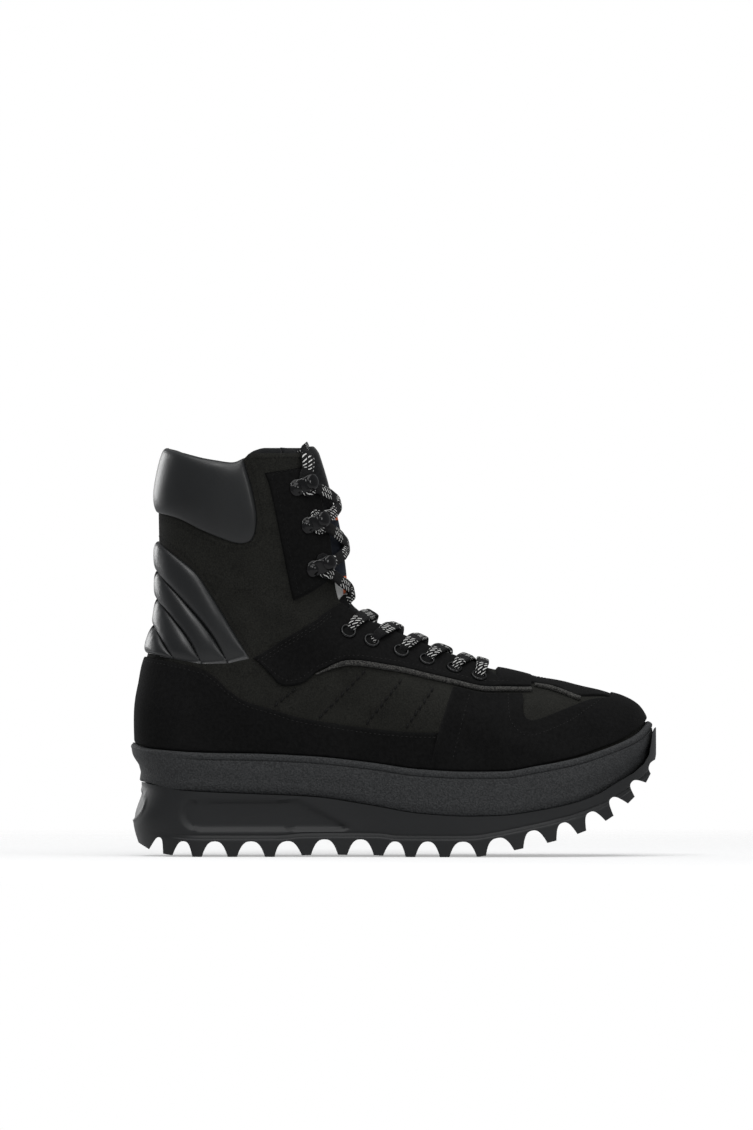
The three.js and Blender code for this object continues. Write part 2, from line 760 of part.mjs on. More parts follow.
// A patch over the front, between two distances off the last
function throatSlab( grow, inner, outer ) {

	const rows = throat.map( ( row ) => row.level );
	const cells = [ - 1, - 0.5, 0, 0.5, 1 ];
	const sheet = ( off ) => rows.map( ( level, i ) => cells.map( ( v ) => {

		const start = i === 0 ? level - grow / 28 : level;
		const y = v * ( follow( throat, 'level', 'half', level ) + grow );
		return offLast( y === 0 ? 1 : frontU( start, y ), start, off );

	} ) );
	return plate( sheet( outer ), sheet( inner ) );

}

function makeUpper() {

	const above = [ ...run( collarEdge, 3 ), corner( 60, 102 ), corner( 60, 115 ), corner( - 5, 115 ), corner( - 5, 101 ) ];
	const outside = wallLevels.map( ( level ) => lastRing( level, 0 ) );
	const inside = wallLevels.map( ( level ) => lastRing( level, - wall ) ).reverse();
	let body = sleeve( [ ...outside, ...inside ] ).subtract( bar( above ) ).subtract( throatSlab( 0, - 9, 9 ) );
	for ( const drill of eyeletDrills() ) body = body.subtract( drill );
	return body;

}

function makeTongue() {

	const cells = Array.from( { length: 13 }, ( _, k ) => k / 6 - 1 );
	const sheet = ( thickness ) => tongueRows.map( ( row ) => cells.map( ( v ) => {

		const open = follow( throat, 'level', 'half', Math.max( row.level, throat[ 0 ].level ) );
		const crown = 1 - ease( Math.abs( v * row.half ), 0.3 * open, open - 1.5 );
		const hidden = - wall - gap - tongueSlack;
		const off = lerp( hidden, row.lift, crown ) - thickness * lerp( 1.8, row.thick, 1 - Math.abs( v ) ** 3 );
		return offLast( v === 0 ? 1 : frontU( row.level, v * row.half ), row.level, off );

	} ) );
	return plate( sheet( 0 ), sheet( 1 ) );

}

// The largest body of a cut, without the crumbs beside it
function biggest( body ) {

	return body.decompose().sort( ( a, b ) => b.volume() - a.volume() )[ 0 ];

}

// A suede layer over the upper inside a side view outline
const clearForm = filled( gap );
const suedeForm = filled( gap + suede );
function overlay( outline, side ) {

	return biggest( suedeForm.intersect( bar( outline, side ) ).subtract( clearForm ).subtract( belowRand( gap ) ) );

}

const pipingHalf = pipingWidth / 2;
const pipingClear = pipingHalf + gap;

function makeCounter() {

	const rear = run( panelRear ).filter( ( p ) => p.y < placeZ( 11.7 ) );
	const front = rear.map( ( p ) => new THREE.Vector2( p.x - gap, p.y ) );
	return overlay( [ ...run( counterTop ), ...front, corner( - 3, - 8 ) ] );

}

function makeToeGuard() {

	const rear = run( panelRear ).reverse();
	const top = raised( run( pipingLine ), - pipingClear ).filter( ( p ) => p.x > placeX( 61.6 ) && p.x < placeX( 74.6 ) );
	const notch = run( windowEdge, 3 );
	return overlay( [ ...rear.slice( 0, - 1 ), ...top, ...notch, corner( 91.3, 32 ), corner( 106, 32 ), corner( 106, - 8 ) ] );

}

function makeEyestay( side ) {

	const lower = raised( run( pipingLine ), pipingClear ).filter( ( p ) => p.x > placeX( 33.2 ) && p.x < placeX( 70.6 ) );
	const outline = [ ...run( wingUpper ), corner( 46, 62 ), corner( 70.6, 45 ), ...lower.reverse(), ...run( wingLower ) ];
	let body = overlay( outline, side ).subtract( throatSlab( 0.8, - 9, 9 ) );
	for ( const drill of eyeletDrills( side ) ) body = body.subtract( drill );
	return biggest( body );

}

function makeThroatTab() {

	const lower = raised( run( pipingLine ), pipingClear ).filter( ( p ) => p.x > placeX( 70.9 ) );
	return overlay( [ corner( 70.8, 26.2 ), ...lower, corner( 76.5, 26.2 ), corner( 76.5, 40 ), corner( 70.8, 40 ) ] );

}

function makeToeStrip() {

	const lower = raised( run( stripLine, 3 ), pipingClear );
	return overlay( [ corner( 76.7, 27.6 ), ...lower, corner( 90, 22.9 ), corner( 90.5, 30 ), corner( 76.7, 40 ) ] );

}

// A raised edge along a side view line
function makePiping( line, side ) {

	const middle = run( line, 3 );
	const outline = [ ...raised( middle, - pipingHalf ), ...raised( middle, pipingHalf ).reverse() ];
	return filled( gap + pipingHeight ).intersect( bar( outline, side ) ).subtract( clearForm );

}

function makeHookPanel( side ) {

	const rear = [ hookPanelRear.slice( 0, 3 ), hookPanelRear.slice( 3, 7 ), hookPanelRear.slice( 6 ) ];
	const outline = [ ...rear.flatMap( ( part ) => run( part ) ), corner( 48, 60 ), corner( 44, 97 ) ];
	return overlay( outline, side ).subtract( throatSlab( 0.8, - 9, 9 ) );

}

// A padded piece round the heel: rows of seam and crest lines, each from one end over the back to the other
function quilt( rows, across, lift ) {

	const cells = Array.from( { length: 2 * across + 1 }, ( _, k ) => k / across - 1 );
	const sheet = ( off ) => rows.map( ( line, i ) => cells.map( ( v ) => {

		const table = line.map( ( [ at, up ] ) => ( { at, up } ) );
		const end = line[ line.length - 1 ][ 0 ];
		const up = follow( table, 'at', 'up', lerp( line[ 0 ][ 0 ], end, v * v ) );
		const found = under( v === 0 ? - 5 : lerp( backAt( up ), end, v * v ), up );
		return offLast( Math.sign( v ) * found.u, found.level, off( i, v ) );

	} ) );
	return plate( sheet( lift ), sheet( () => - wall ) ).subtract( clearForm );

}

// Where the back of the last stands at a height
function backAt( up ) {

	const rows = last.map( ( row ) => ( { up: row.backUp, at: row.backAt } ) );
	return follow( rows, 'up', 'at', up );

}

function makeCollarPad() {

	const shares = [ 0, 0.06, 0.2, 0.4, 0.6, 0.8, 0.94, 1 ];
	const rows = shares.map( ( q ) => collarLines[ 0 ].map( ( [ at, up ], k ) => {

		const [ topAt, topUp ] = collarLines[ 1 ][ k ];
		const bulge = k === collarLines[ 0 ].length - 1 ? collarEnd * 4 * q * ( 1 - q ) : 0;
		return [ lerp( at, topAt, q ) + bulge, lerp( up, topUp, q ) ];

	} ) );
	const lift = ( i, v ) => {

		const roll = Math.sqrt( 1 - ( 2 * shares[ i ] - 1 ) ** 4 ) * Math.sqrt( 1 - Math.abs( v ) ** 10 );
		return gap + padRim + ( collarLoft - padRim + gap ) * roll;

	};

	return quilt( rows, 12, lift );

}

function makeHeelRibs() {

	const rows = [];
	const lifts = [];
	ribLines.forEach( ( line, k ) => {

		rows.push( line );
		lifts.push( k === 0 || k === ribLines.length - 1 ? padRim : ribSeam );
		if ( k === ribLines.length - 1 ) return;
		const upper = ribLines[ k + 1 ];
		const blend = upper.map( ( [ at, up ], j ) => {

			const other = line[ Math.min( line.length - 1, Math.round( j * ( line.length - 1 ) / ( upper.length - 1 ) ) ) ];
			return [ ( at + other[ 0 ] ) / 2, ( up + other[ 1 ] ) / 2 ];

		} );
		rows.push( blend );
		lifts.push( ribLoft );

	} );
	return quilt( rows, 8, ( i, v ) => gap + 0.15 + lerp( lifts[ i ], padRim, Math.abs( v ) ** 6 ) );

}

// Where a fastening stands: a point off the last, its normal and a frame for it
function station( [ at, up ], side, off ) {

	const found = under( at, up );
	const u = sides[ side ].sign * found.u;
	const place = offLast( u, found.level, off );
	const normal = lastNormal( u, found.level );
	const turn = new THREE.Quaternion().setFromUnitVectors( new THREE.Vector3( 0, 1, 0 ), normal );
	return { u, level: found.level, place, normal, turn };

}

function seatAt( geometry, spot ) {

	geometry.applyQuaternion( spot.turn );
	geometry.translate( spot.place.x, spot.place.y, spot.place.z );
	return geometry;

}

function eyeletDrills( only ) {

	const names = only ? [ only ] : Object.keys( sides );
	return names.flatMap( ( side ) => eyelets.map( ( row ) => {

		const drill = new THREE.CylinderGeometry( eyeletHole + gap, eyeletHole + gap, 14, 7 );
		return fromGeometry( seatAt( drill, station( row.spot, side, 0 ) ) );

	} ) );

}

function makeEyelet( row, side ) {

	const foot = [ [ eyeletHole, 0 ], [ eyeletOuter, 0 ] ];
	const profile = [ ...foot, [ eyeletOuter - 0.4, 0.8 ], [ eyeletHole + 0.3, eyeletProud ], foot[ 0 ] ];
	const ring = new THREE.LatheGeometry( profile.map( ( [ r, y ] ) => new THREE.Vector2( r, y ) ), 8 );
	return fromGeometry( seatAt( ring, station( row.spot, side, eyeletSeat ) ) );

}

// A hook: rivet base on the panel, arm forward over the lace, and button
function makeHook( row, side ) {

	const foot = station( row.base, side, 2 * gap + suede + 0.1 );
	const head = station( row.button, side, gap + suede + hookRise );
	const base = new THREE.CylinderGeometry( hookBase * 0.8, hookBase, 1.2, 8 ).translate( 0, 0.6, 0 );
	const dome = [ [ 0, - 0.8 ], [ hookButton, - 0.8 ], [ hookButton * 0.9, 0.6 ], [ 0, 1.5 ] ];
	const button = new THREE.LatheGeometry( dome.map( ( [ r, y ] ) => new THREE.Vector2( r, y ) ), 8 );
	const reachTo = head.place.clone().sub( foot.place );
	const normal = foot.normal.clone();
	const across = reachTo.clone().cross( normal ).normalize();
	const slab = ( from, to, thick, lift ) => {

		const ahead = to.clone().sub( from );
		const up = ahead.clone().cross( across ).normalize();
		const box = new THREE.BoxGeometry( ahead.length(), hookArm, thick );
		box.applyMatrix4( new THREE.Matrix4().makeBasis( ahead.clone().normalize(), across, up ) );
		const middle = from.clone().add( to ).multiplyScalar( 0.5 ).addScaledVector( normal, lift );
		return fromGeometry( box.translate( middle.x, middle.y, middle.z ) );

	};

	const heel = foot.place.clone().addScaledVector( normal, 0.8 );
	const knee = heel.clone().lerp( head.place, 0.35 ).addScaledVector( normal, 0.6 );
	const body = fromGeometry( seatAt( base, foot ) ).add( fromGeometry( seatAt( button, head ) ) );
	return body.add( slab( heel, knee, 1.4, 0.2 ) ).add( slab( knee, head.place, 1.4, 0 ) );

}

// A lace leg through stops on the front. g: how far from the front's middle round the ring, off: distance off the last
function laceLeg( stops, steps ) {

	const curve = new THREE.CatmullRomCurve3( stops.map( ( s ) => new THREE.Vector3( s.g * 100, s.level * 10, s.off ) ) );
	const at = ( f ) => {

		const p = curve.getPoint( clamp( f, 0, 1 ) );
		const u = p.x === 0 ? 1 : Math.sign( p.x ) * ( 1 - Math.abs( p.x ) / 100 );
		return { place: offLast( u, p.y / 10, p.z ), normal: lastNormal( u, p.y / 10 ) };

	};

	const rings = Array.from( { length: steps + 1 }, ( _, k ) => {

		const here = at( k / steps );
		const ahead = at( ( k + 0.4 ) / steps ).place.sub( at( ( k - 0.4 ) / steps ).place ).normalize();
		const across = ahead.clone().cross( here.normal ).normalize();
		const up = across.clone().cross( ahead );
		const corners = [ [ 1, 1 ], [ - 1, 1 ], [ - 1, - 1 ], [ 1, - 1 ] ];
		return corners.map( ( [ x, y ] ) => here.place.clone()
			.addScaledVector( across, x * laceWidth / 2 )
			.addScaledVector( up, y * laceThickness / 2 ) );

	} );
	return stack( rings );

}

// Where a lace leg lies between a row and the next lower one: f from 0 at its own side to 1 at the other
const laceHalf = laceThickness / 2;
const overTongue = ( level ) => follow( tongueRows, 'level', 'lift', level ) + laceHalf + laceClear;
const eyeletTop = eyeletSeat + eyeletProud;
function laceRow( row, side ) {

	const found = station( row.spot ?? row.button, side, 0 );
	const front = row.spot ? 1 : hookShare;
	return { g: ( 1 - Math.abs( found.u ) ) * front, level: found.level, ridge: row.ridge };

}

function laceStop( from, to, sign, f, off ) {

	const share = 1 - 2 * f;
	const wide = lerp( from.g, to.g, f );
	const own = lerp( from.level, to.level, f );
	const level = own + ( lerp( from.ridge, to.ridge, f ) - own ) * ( 1 - share * share );
	return { g: sign * wide * share, level, off: off ?? overTongue( level ) };

}

// Two legs that cross over the tongue, each from its own side down towards the next row, joined where they cross
const laceEnd = 0.6;
const crossLift = 0.35;
function makeCrossing( from, to ) {

	const legs = Object.keys( sides ).map( ( side ) => {

		const start = laceRow( from, side );
		const end = laceRow( to, side );
		const sign = sides[ side ].sign;
		const over = eyeletTop + laceHalf + laceClear;
		const stops = [ laceStop( start, end, sign, 0, over ), laceStop( start, end, sign, 0.14, over ) ];
		const low = laceStop( start, end, sign, 0.34 );
		const middle = laceStop( start, end, sign, 0.5 );
		const last = laceStop( start, end, sign, laceEnd );
		middle.off += sign > 0 ? crossLift : 0;
		low.off = Math.max( low.off + 1.7, 2.8 ) + ( from.bridge ?? 0 );
		middle.off += 0.45 + ( from.bridge ?? 0 );
		last.off += from.bridge ?? 0;
		return laceLeg( [ ...stops, low, middle, last ], 6 );

	} );
	return legs[ 0 ].add( legs[ 1 ] );

}

// The lowest lace, straight across
function makeLaceBar( row ) {

	const over = eyeletTop + laceHalf + laceClear;
	const middle = overTongue( row.ridge ) + 3.2;
	const rise = [ [ 0, over ], [ 0.15, over ], [ 0.3, over - 0.4 ], [ 0.5, middle ], [ 0.7, over - 0.4 ], [ 0.85, over ], [ 1, over ] ];
	const here = laceRow( row, 'lateral' );
	const stops = rise.map( ( [ f, off ] ) => laceStop( here, here, - 1, f, off ) );
	return laceLeg( stops, 8 );

}

// Materials: one for each sort of stuff
const stuff = {
	suede: { color: 0x141414, roughness: 0.95, metalness: 0 },
	cloth: { color: 0x242421, roughness: 0.9, metalness: 0 },
	leather: { color: 0x24282b, roughness: 0.42, metalness: 0 },
	rubber: { color: 0x2e3134, roughness: 0.55, metalness: 0 },
	foxing: { color: 0x343637, roughness: 0.7, metalness: 0 },
	piping: { color: 0x3a3b3d, roughness: 0.95, metalness: 0 },
	metal: { color: 0x16181a, roughness: 0.3, metalness: 0.8 },
	lace: { color: 0x17171a, roughness: 0.85, metalness: 0 },
	lining: { color: 0x1c1d1f, roughness: 0.9, metalness: 0 },
};

const shoe = new THREE.Group();
function place( name, body, kind ) {

	const mesh = body.getMesh();
	const geometry = new THREE.BufferGeometry();
	geometry.setAttribute( 'position', new THREE.BufferAttribute( new Float32Array( mesh.vertProperties ), 3 ) );
	geometry.setIndex( new THREE.BufferAttribute( new Uint32Array( mesh.triVerts ), 1 ) );
	geometry.computeVertexNormals();
	const node = new THREE.Mesh( geometry, new THREE.MeshStandardMaterial( stuff[ kind ] ) );
	node.name = name;
	shoe.add( node );

}

place( 'outsole', makeOutsole(), 'rubber' );
place( 'rand', makeRand(), 'foxing' );
place( 'insole', makeInsole(), 'lining' );
place( 'upper', makeUpper(), 'cloth' );
place( 'tongue', makeTongue(), 'lining' );
place( 'heel_counter', makeCounter(), 'suede' );
place( 'toe_guard', makeToeGuard(), 'suede' );
place( 'throat_tab', makeThroatTab(), 'suede' );
place( 'toe_strip', makeToeStrip(), 'suede' );
place( 'collar_pad', makeCollarPad(), 'leather' );
place( 'heel_ribs', makeHeelRibs(), 'leather' );
for ( const side of Object.keys( sides ) ) {

	place( `eyestay_${ side }`, makeEyestay( side ), 'suede' );
	place( `hook_panel_${ side }`, makeHookPanel( side ), 'suede' );
	place( `piping_${ side }`, makePiping( pipingLine, side ), 'piping' );
	place( `toe_piping_${ side }`, makePiping( stripLine, side ), 'piping' );
	eyelets.forEach( ( row, k ) => place( `eyelet_${ side }_${ k + 1 }`, makeEyelet( row, side ), 'metal' ) );
	hooks.forEach( ( row, k ) => place( `hook_${ side }_${ k + 1 }`, makeHook( row, side ), 'metal' ) );

}

const rows = [ ...eyelets, ...hooks ];
place( 'lace_bar', makeLaceBar( eyelets[ 0 ] ), 'lace' );
rows.slice( 1 ).forEach( ( row, k ) => place( `lace_crossing_${ k + 1 }`, makeCrossing( row, rows[ k ] ), 'lace' ) );

// Stand the shoe on the floor with its origin under the middle
const box = new THREE.Box3().setFromObject( shoe );
const middle = box.getCenter( new THREE.Vector3() );
shoe.position.set( - middle.x, - middle.y, - box.min.z );

export default shoe;
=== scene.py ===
import bisect
import math

import bmesh
import bpy
from mathutils import Matrix, Vector


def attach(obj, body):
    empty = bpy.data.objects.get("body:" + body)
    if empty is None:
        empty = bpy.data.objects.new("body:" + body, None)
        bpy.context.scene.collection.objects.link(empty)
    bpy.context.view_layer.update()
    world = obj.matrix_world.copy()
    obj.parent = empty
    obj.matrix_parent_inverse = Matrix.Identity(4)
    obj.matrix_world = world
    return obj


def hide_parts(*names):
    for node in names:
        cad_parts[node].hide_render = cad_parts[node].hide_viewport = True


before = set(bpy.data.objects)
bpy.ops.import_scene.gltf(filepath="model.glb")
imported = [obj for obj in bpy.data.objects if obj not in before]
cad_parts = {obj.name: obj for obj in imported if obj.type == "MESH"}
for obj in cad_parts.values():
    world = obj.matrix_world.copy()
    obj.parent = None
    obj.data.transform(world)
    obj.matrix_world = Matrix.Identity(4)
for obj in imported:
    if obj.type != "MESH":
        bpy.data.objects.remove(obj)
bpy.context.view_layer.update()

# Sizes in millimetres, as in the part's source: toe along +X, outer side on -Y
length, ball_width, heel_width = 300, 104, 77
boot_height, sole_height, rand_floor, toe_swing = 236, 44, 6, 5
gap, wall, suede, rand_wall = 0.35, 2.2, 1.5, 3.2
heel_seat = sole_height + rand_floor
shaft_rise = boot_height - heel_seat
heel_round = 0.47 * heel_width
middle = Vector((150.05, 0.43, 0))

# Rings of the last from feather line to collar
last = [
    # level, back at, back up, front at, front up, round, heel, waist, ball, toe, hug
    (0, 0.9, 0, 98.2, 6.5, 18.7, 0.95, 0.95, 0.99, 0.96, 1),
    (1, 0.67, 4.3, 98.8, 10.8, 19, 0.98, 0.98, 1, 0.97, 0.95),
    (2, 0.55, 8.6, 98.5, 15.1, 21.3, 0.99, 0.99, 1, 0.965, 0.85),
    (3, 0.55, 13.4, 97.2, 19.1, 27.3, 0.99, 1, 0.985, 0.95, 0.7),
    (4, 0.65, 18.3, 93.7, 22.6, 38.7, 0.98, 1, 0.955, 0.93, 0.5),
    (5, 1, 22.6, 85.7, 25.6, 48.7, 0.97, 0.99, 0.915, 0.9, 0.32),
    (6, 1.6, 26.9, 77, 28.8, 50.7, 0.96, 0.97, 0.87, 0.87, 0.18),
    (7, 2.1, 31.2, 67.7, 32.4, 46.7, 0.95, 0.955, 0.82, 0.83, 0.09),
    (8, 2.9, 35.5, 59, 37.4, 40.7, 0.94, 0.945, 0.78, 0.785, 0.04),
    (9, 3.8, 39.8, 51.3, 42.7, 34.7, 0.93, 0.935, 0.75, 0.75, 0),
    (10, 4.8, 45.2, 44.7, 47.8, 28, 0.925, 0.93, 0.725, 0.72, 0),
    (11, 5.4, 52.2, 41, 53.8, 21.3, 0.92, 0.925, 0.7, 0.695, 0),
    (12, 5.4, 61.8, 40.2, 62.9, 17.3, 0.92, 0.925, 0.695, 0.69, 0),
    (13, 5.2, 72, 39.3, 72.6, 15.3, 0.93, 0.935, 0.7, 0.695, 0),
    (14, 5.1, 82.3, 38, 82.3, 14.7, 0.95, 0.95, 0.71, 0.7, 0),
    (15, 5.9, 91.4, 36.7, 91.4, 14.3, 0.965, 0.965, 0.715, 0.705, 0),
    (16, 7.1, 100, 35.2, 100, 14, 0.95, 0.955, 0.7, 0.69, 0),
]
stations = (0.12, 0.42, 0.72, 0.92)
outer_side = (1, 1.04, 1.01, 0.97)
inner_side = (1, 0.92, 0.99, 1.03)

# Height lines of the sole: at, top and rand edge in percent of the sole's height
sole_lines = [
    (0, 100, 152), (3.3, 95.5, 143), (8, 88, 139), (14.3, 85, 136.5), (23.3, 82.5, 135.5),
    (34.3, 79, 132), (45.3, 68, 124), (55, 57, 115), (64.3, 53.5, 112), (70.7, 54.5, 112.5),
    (76.8, 60, 119), (85, 71.5, 131), (91, 88, 145), (94, 101, 154), (96.2, 113, 163),
    (97.8, 121, 174), (98.8, 128, 184), (100.5, 141, 192),
]


class Smooth:
    """A smooth value between the places of a table, straight on past its ends."""

    def __init__(self, places, values):
        rise = [(d - c) / (b - a) for a, b, c, d in zip(places, places[1:], values, values[1:])]
        inner = [2 * a * b / (a + b) if a * b > 0 else 0 for a, b in zip(rise, rise[1:])]
        self.places, self.values, self.slopes = places, values, [rise[0], *inner, rise[-1]]

    def __call__(self, at):
        x, y, slope = self.places, self.values, self.slopes
        if at <= x[0]:
            return y[0] + slope[0] * (at - x[0])
        if at >= x[-1]:
            return y[-1] + slope[-1] * (at - x[-1])
        i = bisect.bisect_right(x, at) - 1
        span = x[i + 1] - x[i]
        f = (at - x[i]) / span
        g = 1 - f
        start = y[i] * (1 + 2 * f) * g * g + slope[i] * span * f * g * g
        return start + y[i + 1] * (3 - 2 * f) * f * f - slope[i + 1] * span * g * f * f


def columns_of(table):
    """One smooth value for each column of a table, by its first column."""
    rows = list(zip(*table))
    return [Smooth(rows[0], column) for column in rows[1:]]


def mix(a, b, f):
    return a + (b - a) * f


def clamp(x, low=0.0, high=1.0):
    return max(low, min(high, x))


def ease(x, low, high):
    f = clamp((x - low) / (high - low))
    return f * f * (3 - 2 * f)


last_columns = columns_of(last)
sole_top_line, rand_top_line = columns_of(sole_lines)


def sole_top(x):
    return sole_top_line(x / length * 100) / 100 * sole_height


def rand_top(x):
    return rand_top_line(x / length * 100) / 100 * sole_height


def seat(x):
    return sole_top(x) + rand_floor


def place_x(at):
    return at / 100 * length


def place_z(up):
    return heel_seat + up / 100 * shaft_rise


class Ring:
    """One ring of the last: its ends, its widths and how far it follows the sole's curve."""

    def __init__(self, level):
        back_at, back_up, front_at, front_up, rounding, heel, waist, ball, toe, hug = (
            column(level) for column in last_columns
        )
        self.back, self.low = place_x(back_at), place_z(back_up)
        self.front, self.high = place_x(front_at), place_z(front_up)
        self.round, self.hug = place_x(rounding), clamp(hug)
        self.run = self.front - self.back
        self.seats = seat(self.back), seat(self.front)
        halves = [heel * heel_width / 2, waist * heel_width / 2, ball * ball_width / 2, toe * ball_width / 2]
        self.widths = [
            Smooth(stations, [h * mix(1, f, self.hug) for h, f in zip(halves, side)])
            for side in (outer_side, inner_side)
        ]

    def height(self, s):
        x = mix(self.back, self.front, s)
        if self.hug >= 1:
            return seat(x)
        return mix(self.low, self.high, s) + self.hug * (seat(x) - mix(*self.seats, s))

    def half(self, s, inner):
        ends = 1.0
        for q in (s * self.run / heel_round, (1 - s) * self.run / self.round):
            if q < 1:
                ends *= math.sqrt(max(0, 1 - (1 - q) ** 2))
        return self.widths[inner](clamp(s, stations[0], stations[3])) * ends


rings = {}
ring_steps = 500


def ring_at(level):
    key = round(level * ring_steps)
    if key not in rings:
        rings[key] = Ring(key / ring_steps)
    return rings[key]


def wrap(u):
    return u - 2 if u > 1 else u + 2 if u < -1 else u


def last_point(u, level):
    """A point of the last. u runs from -1 at the front over the outer side, 0 at the heel, to 1."""
    ring, u = ring_at(level), wrap(u)
    s = math.sin(math.pi * abs(u) / 2) ** 2
    x = mix(ring.back, ring.front, s)
    swing = toe_swing * max(0, x / length - 0.55) ** 2 / 0.2
    return Vector((x, swing + (-1 if u < 0 else 1) * ring.half(s, u >= 0), ring.height(s)))


def last_normal(u, level):
    across = last_point(u + 0.004, level) - last_point(u - 0.004, level)
    upward = last_point(u, level + 0.02) - last_point(u, level - 0.02)
    return upward.cross(across).normalized()


def off_feather(u, off, z):
    """A point off the feather line in plan, at any height."""
    point = last_point(u, 0)
    along = last_point(u + 0.004, 0) - last_point(u - 0.004, 0)
    out = Vector((-along.y, along.x)).normalized()
    return Vector((point.x + out.x * off, point.y + out.y * off, z))


# Creases: side view points, half width and depth in millimetres, sides where they lie
creases = [
    ([(21, 52), (26, 45.5), (31, 44)], 4.5, -0.9, "both"),
    ([(19.5, 57.5), (25, 51.5), (29, 50)], 5, 0.5, "both"),
    ([(23, 66), (27, 62), (29, 61)], 5, -0.5, "both"),
    ([(66, 27.8), (68.5, 30.5), (70, 33)], 4, -0.5, "both"),
    ([(72.5, 22), (76, 26), (78, 29)], 6, -0.5, "both"),
    ([(79, 24), (82, 26), (83, 28)], 6, 0.35, "both"),
    ([(31.5, 24), (37, 28), (42, 32)], 5, 0.5, "outer"),
    ([(38, 16), (43, 22), (48, 29.5)], 5, -0.5, "both"),
    ([(48, 15), (52, 20), (56, 27)], 5, -0.4, "both"),
    ([(12, 69), (17, 64), (20, 60)], 4, -0.6, "both"),
    ([(60, 6), (63.5, 14), (66, 22)], 7, -0.45, "both"),
    ([(84, 12), (87, 17), (91, 20.5)], 8, -0.4, "inner"),
]
crease_lines = [
    ([Vector((place_x(a), place_z(b))) for a, b in line], width, depth, sides)
    for line, width, depth, sides in creases
]


def crease(point):
    total = 0.0
    for line, width, depth, sides in crease_lines:
        if sides != "both" and (sides == "outer") != (point.y < 0):
            continue
        near = 1e9
        for a, b in zip(line, line[1:]):
            run = b - a
            f = clamp(((point.x - a.x) * run.x + (point.z - a.y) * run.y) / run.length_squared)
            spot = a + run * f
            near = min(near, (point.x - spot.x) ** 2 + (point.z - spot.y) ** 2)
        if near < 9 * width * width:
            total += depth * math.exp(-near / (width * width))
    return total


heel_full = 2.2


def skin(u, level):
    """The cloth's surface, creases and the heel's fullness included, and its outward normal."""
    point, normal = last_point(u, level), last_normal(u, level)
    full = heel_full * (1 - ease(abs(wrap(u)), 0.04, 0.36)) * ease(level, 0, 1.5)
    return point + normal * (crease(point) + full), normal


def over(u, level, off):
    point, normal = skin(u, level)
    return point + normal * off


def under(at, up):
    """Where round the last and at which level a side view point lies."""
    x, z = place_x(at), place_z(up)
    low, high = -0.5, len(last)
    for _ in range(24):
        level = (low + high) / 2
        ring = ring_at(level)
        s = (x - ring.back) / ring.run
        if s > 1 or ring.height(clamp(s)) > z:
            high = level
        else:
            low = level
    return 2 / math.pi * math.asin(math.sqrt(clamp(s))), (low + high) / 2


def front_u(level, y):
    """How far round the front's middle a distance across lies, on the inner side."""
    ring, low, high = ring_at(level), 0.5, 1.0
    for _ in range(24):
        u = (low + high) / 2
        if ring.half(math.sin(math.pi * u / 2) ** 2, True) > y:
            low = u
        else:
            high = u
    return (low + high) / 2


# Lines on the last
def smooth_run(points, steps):
    """A smooth run through points, with steps places for each span."""
    points = [Vector(p) for p in points]
    places = []
    for i in range(len(points) - 1):
        a, b = points[i], points[i + 1]
        before = points[i - 1] if i else a * 2 - b
        after = points[i + 2] if i + 2 < len(points) else b * 2 - a
        for k in range(steps):
            f = k / steps
            places.append(0.5 * (2 * a + (b - before) * f + (2 * before - 5 * a + 4 * b - after) * f * f
                                 + (3 * a - before - 3 * b + after) * f ** 3))
    return places + [points[-1]]


def even(points, count):
    """A smooth run through points, as count + 1 places evenly far apart on the surface."""
    scale = Vector((330, 11))
    dense = smooth_run(points, 4 if len(points) > 30 else 12)
    sums = [0.0]
    for a, b in zip(dense, dense[1:]):
        sums.append(sums[-1] + ((b - a) * scale).length)
    spots = []
    for k in range(count + 1):
        target = sums[-1] * k / count
        i = min(max(bisect.bisect_right(sums, target) - 1, 0), len(dense) - 2)
        f = (target - sums[i]) / max(sums[i + 1] - sums[i], 1e-9)
        spots.append(dense[i].lerp(dense[i + 1], clamp(f)))
    return spots


def trace(points):
    """A smooth side view run, laid on the last."""
    return [Vector(under(*p)) for p in smooth_run(points, max(8, 36 // len(points)))]


def chain(*runs):
    """Runs of (points, count) joined end to end."""
    line = []
    for points, count in runs:
        line += even(points, count)[1 if line else 0:]
    return line


def rand_spot(at, lift=0.3):
    """A spot just above the rand's upper edge."""
    up = (rand_top(place_x(at)) + lift - heel_seat) / shaft_rise * 100
    return Vector(under(at, up))


def level_of_front(at):
    low, high = 0.0, 16.0
    for _ in range(30):
        level = (low + high) / 2
        if last_columns[2](level) > at:
            low = level
        else:
            high = level
    return level


# Shapes
def grid_of(wide, tall, place, round_way=False):
    """A grid of wide by tall cells put into place, with UVs in centimetres along its surface."""
    bm = bmesh.new()
    bmesh.ops.create_grid(bm, x_segments=wide, y_segments=tall, size=1)
    cell = bm.verts.layers.int.new("cell")
    cover = bm.loops.layers.uv.new("UVMap")
    spots = [[place(i, j) for i in range(wide + 1)] for j in range(tall + 1)]
    bm.verts.ensure_lookup_table()
    for k, v in enumerate(bm.verts):
        v[cell] = k
        v.co = spots[k // (wide + 1)][k % (wide + 1)]
    across = [[0.0] for _ in spots]
    for j, row in enumerate(spots):
        for a, b in zip(row, row[1:]):
            across[j].append(across[j][-1] + (b - a).length)
    mean = [sum(row[i] for row in across) / len(across) for i in range(wide + 1)]
    upward = [0.0]
    centre = wide // 2
    for j in range(tall):
        upward.append(upward[-1] + (spots[j + 1][centre] - spots[j][centre]).length)
    for face in bm.faces:
        for loop in face.loops:
            k = loop.vert[cell]
            loop[cover].uv = mean[k % (wide + 1)] / 10, upward[k // (wide + 1)] / 10
    if round_way:
        bmesh.ops.remove_doubles(bm, verts=bm.verts, dist=1e-3)
    return bm


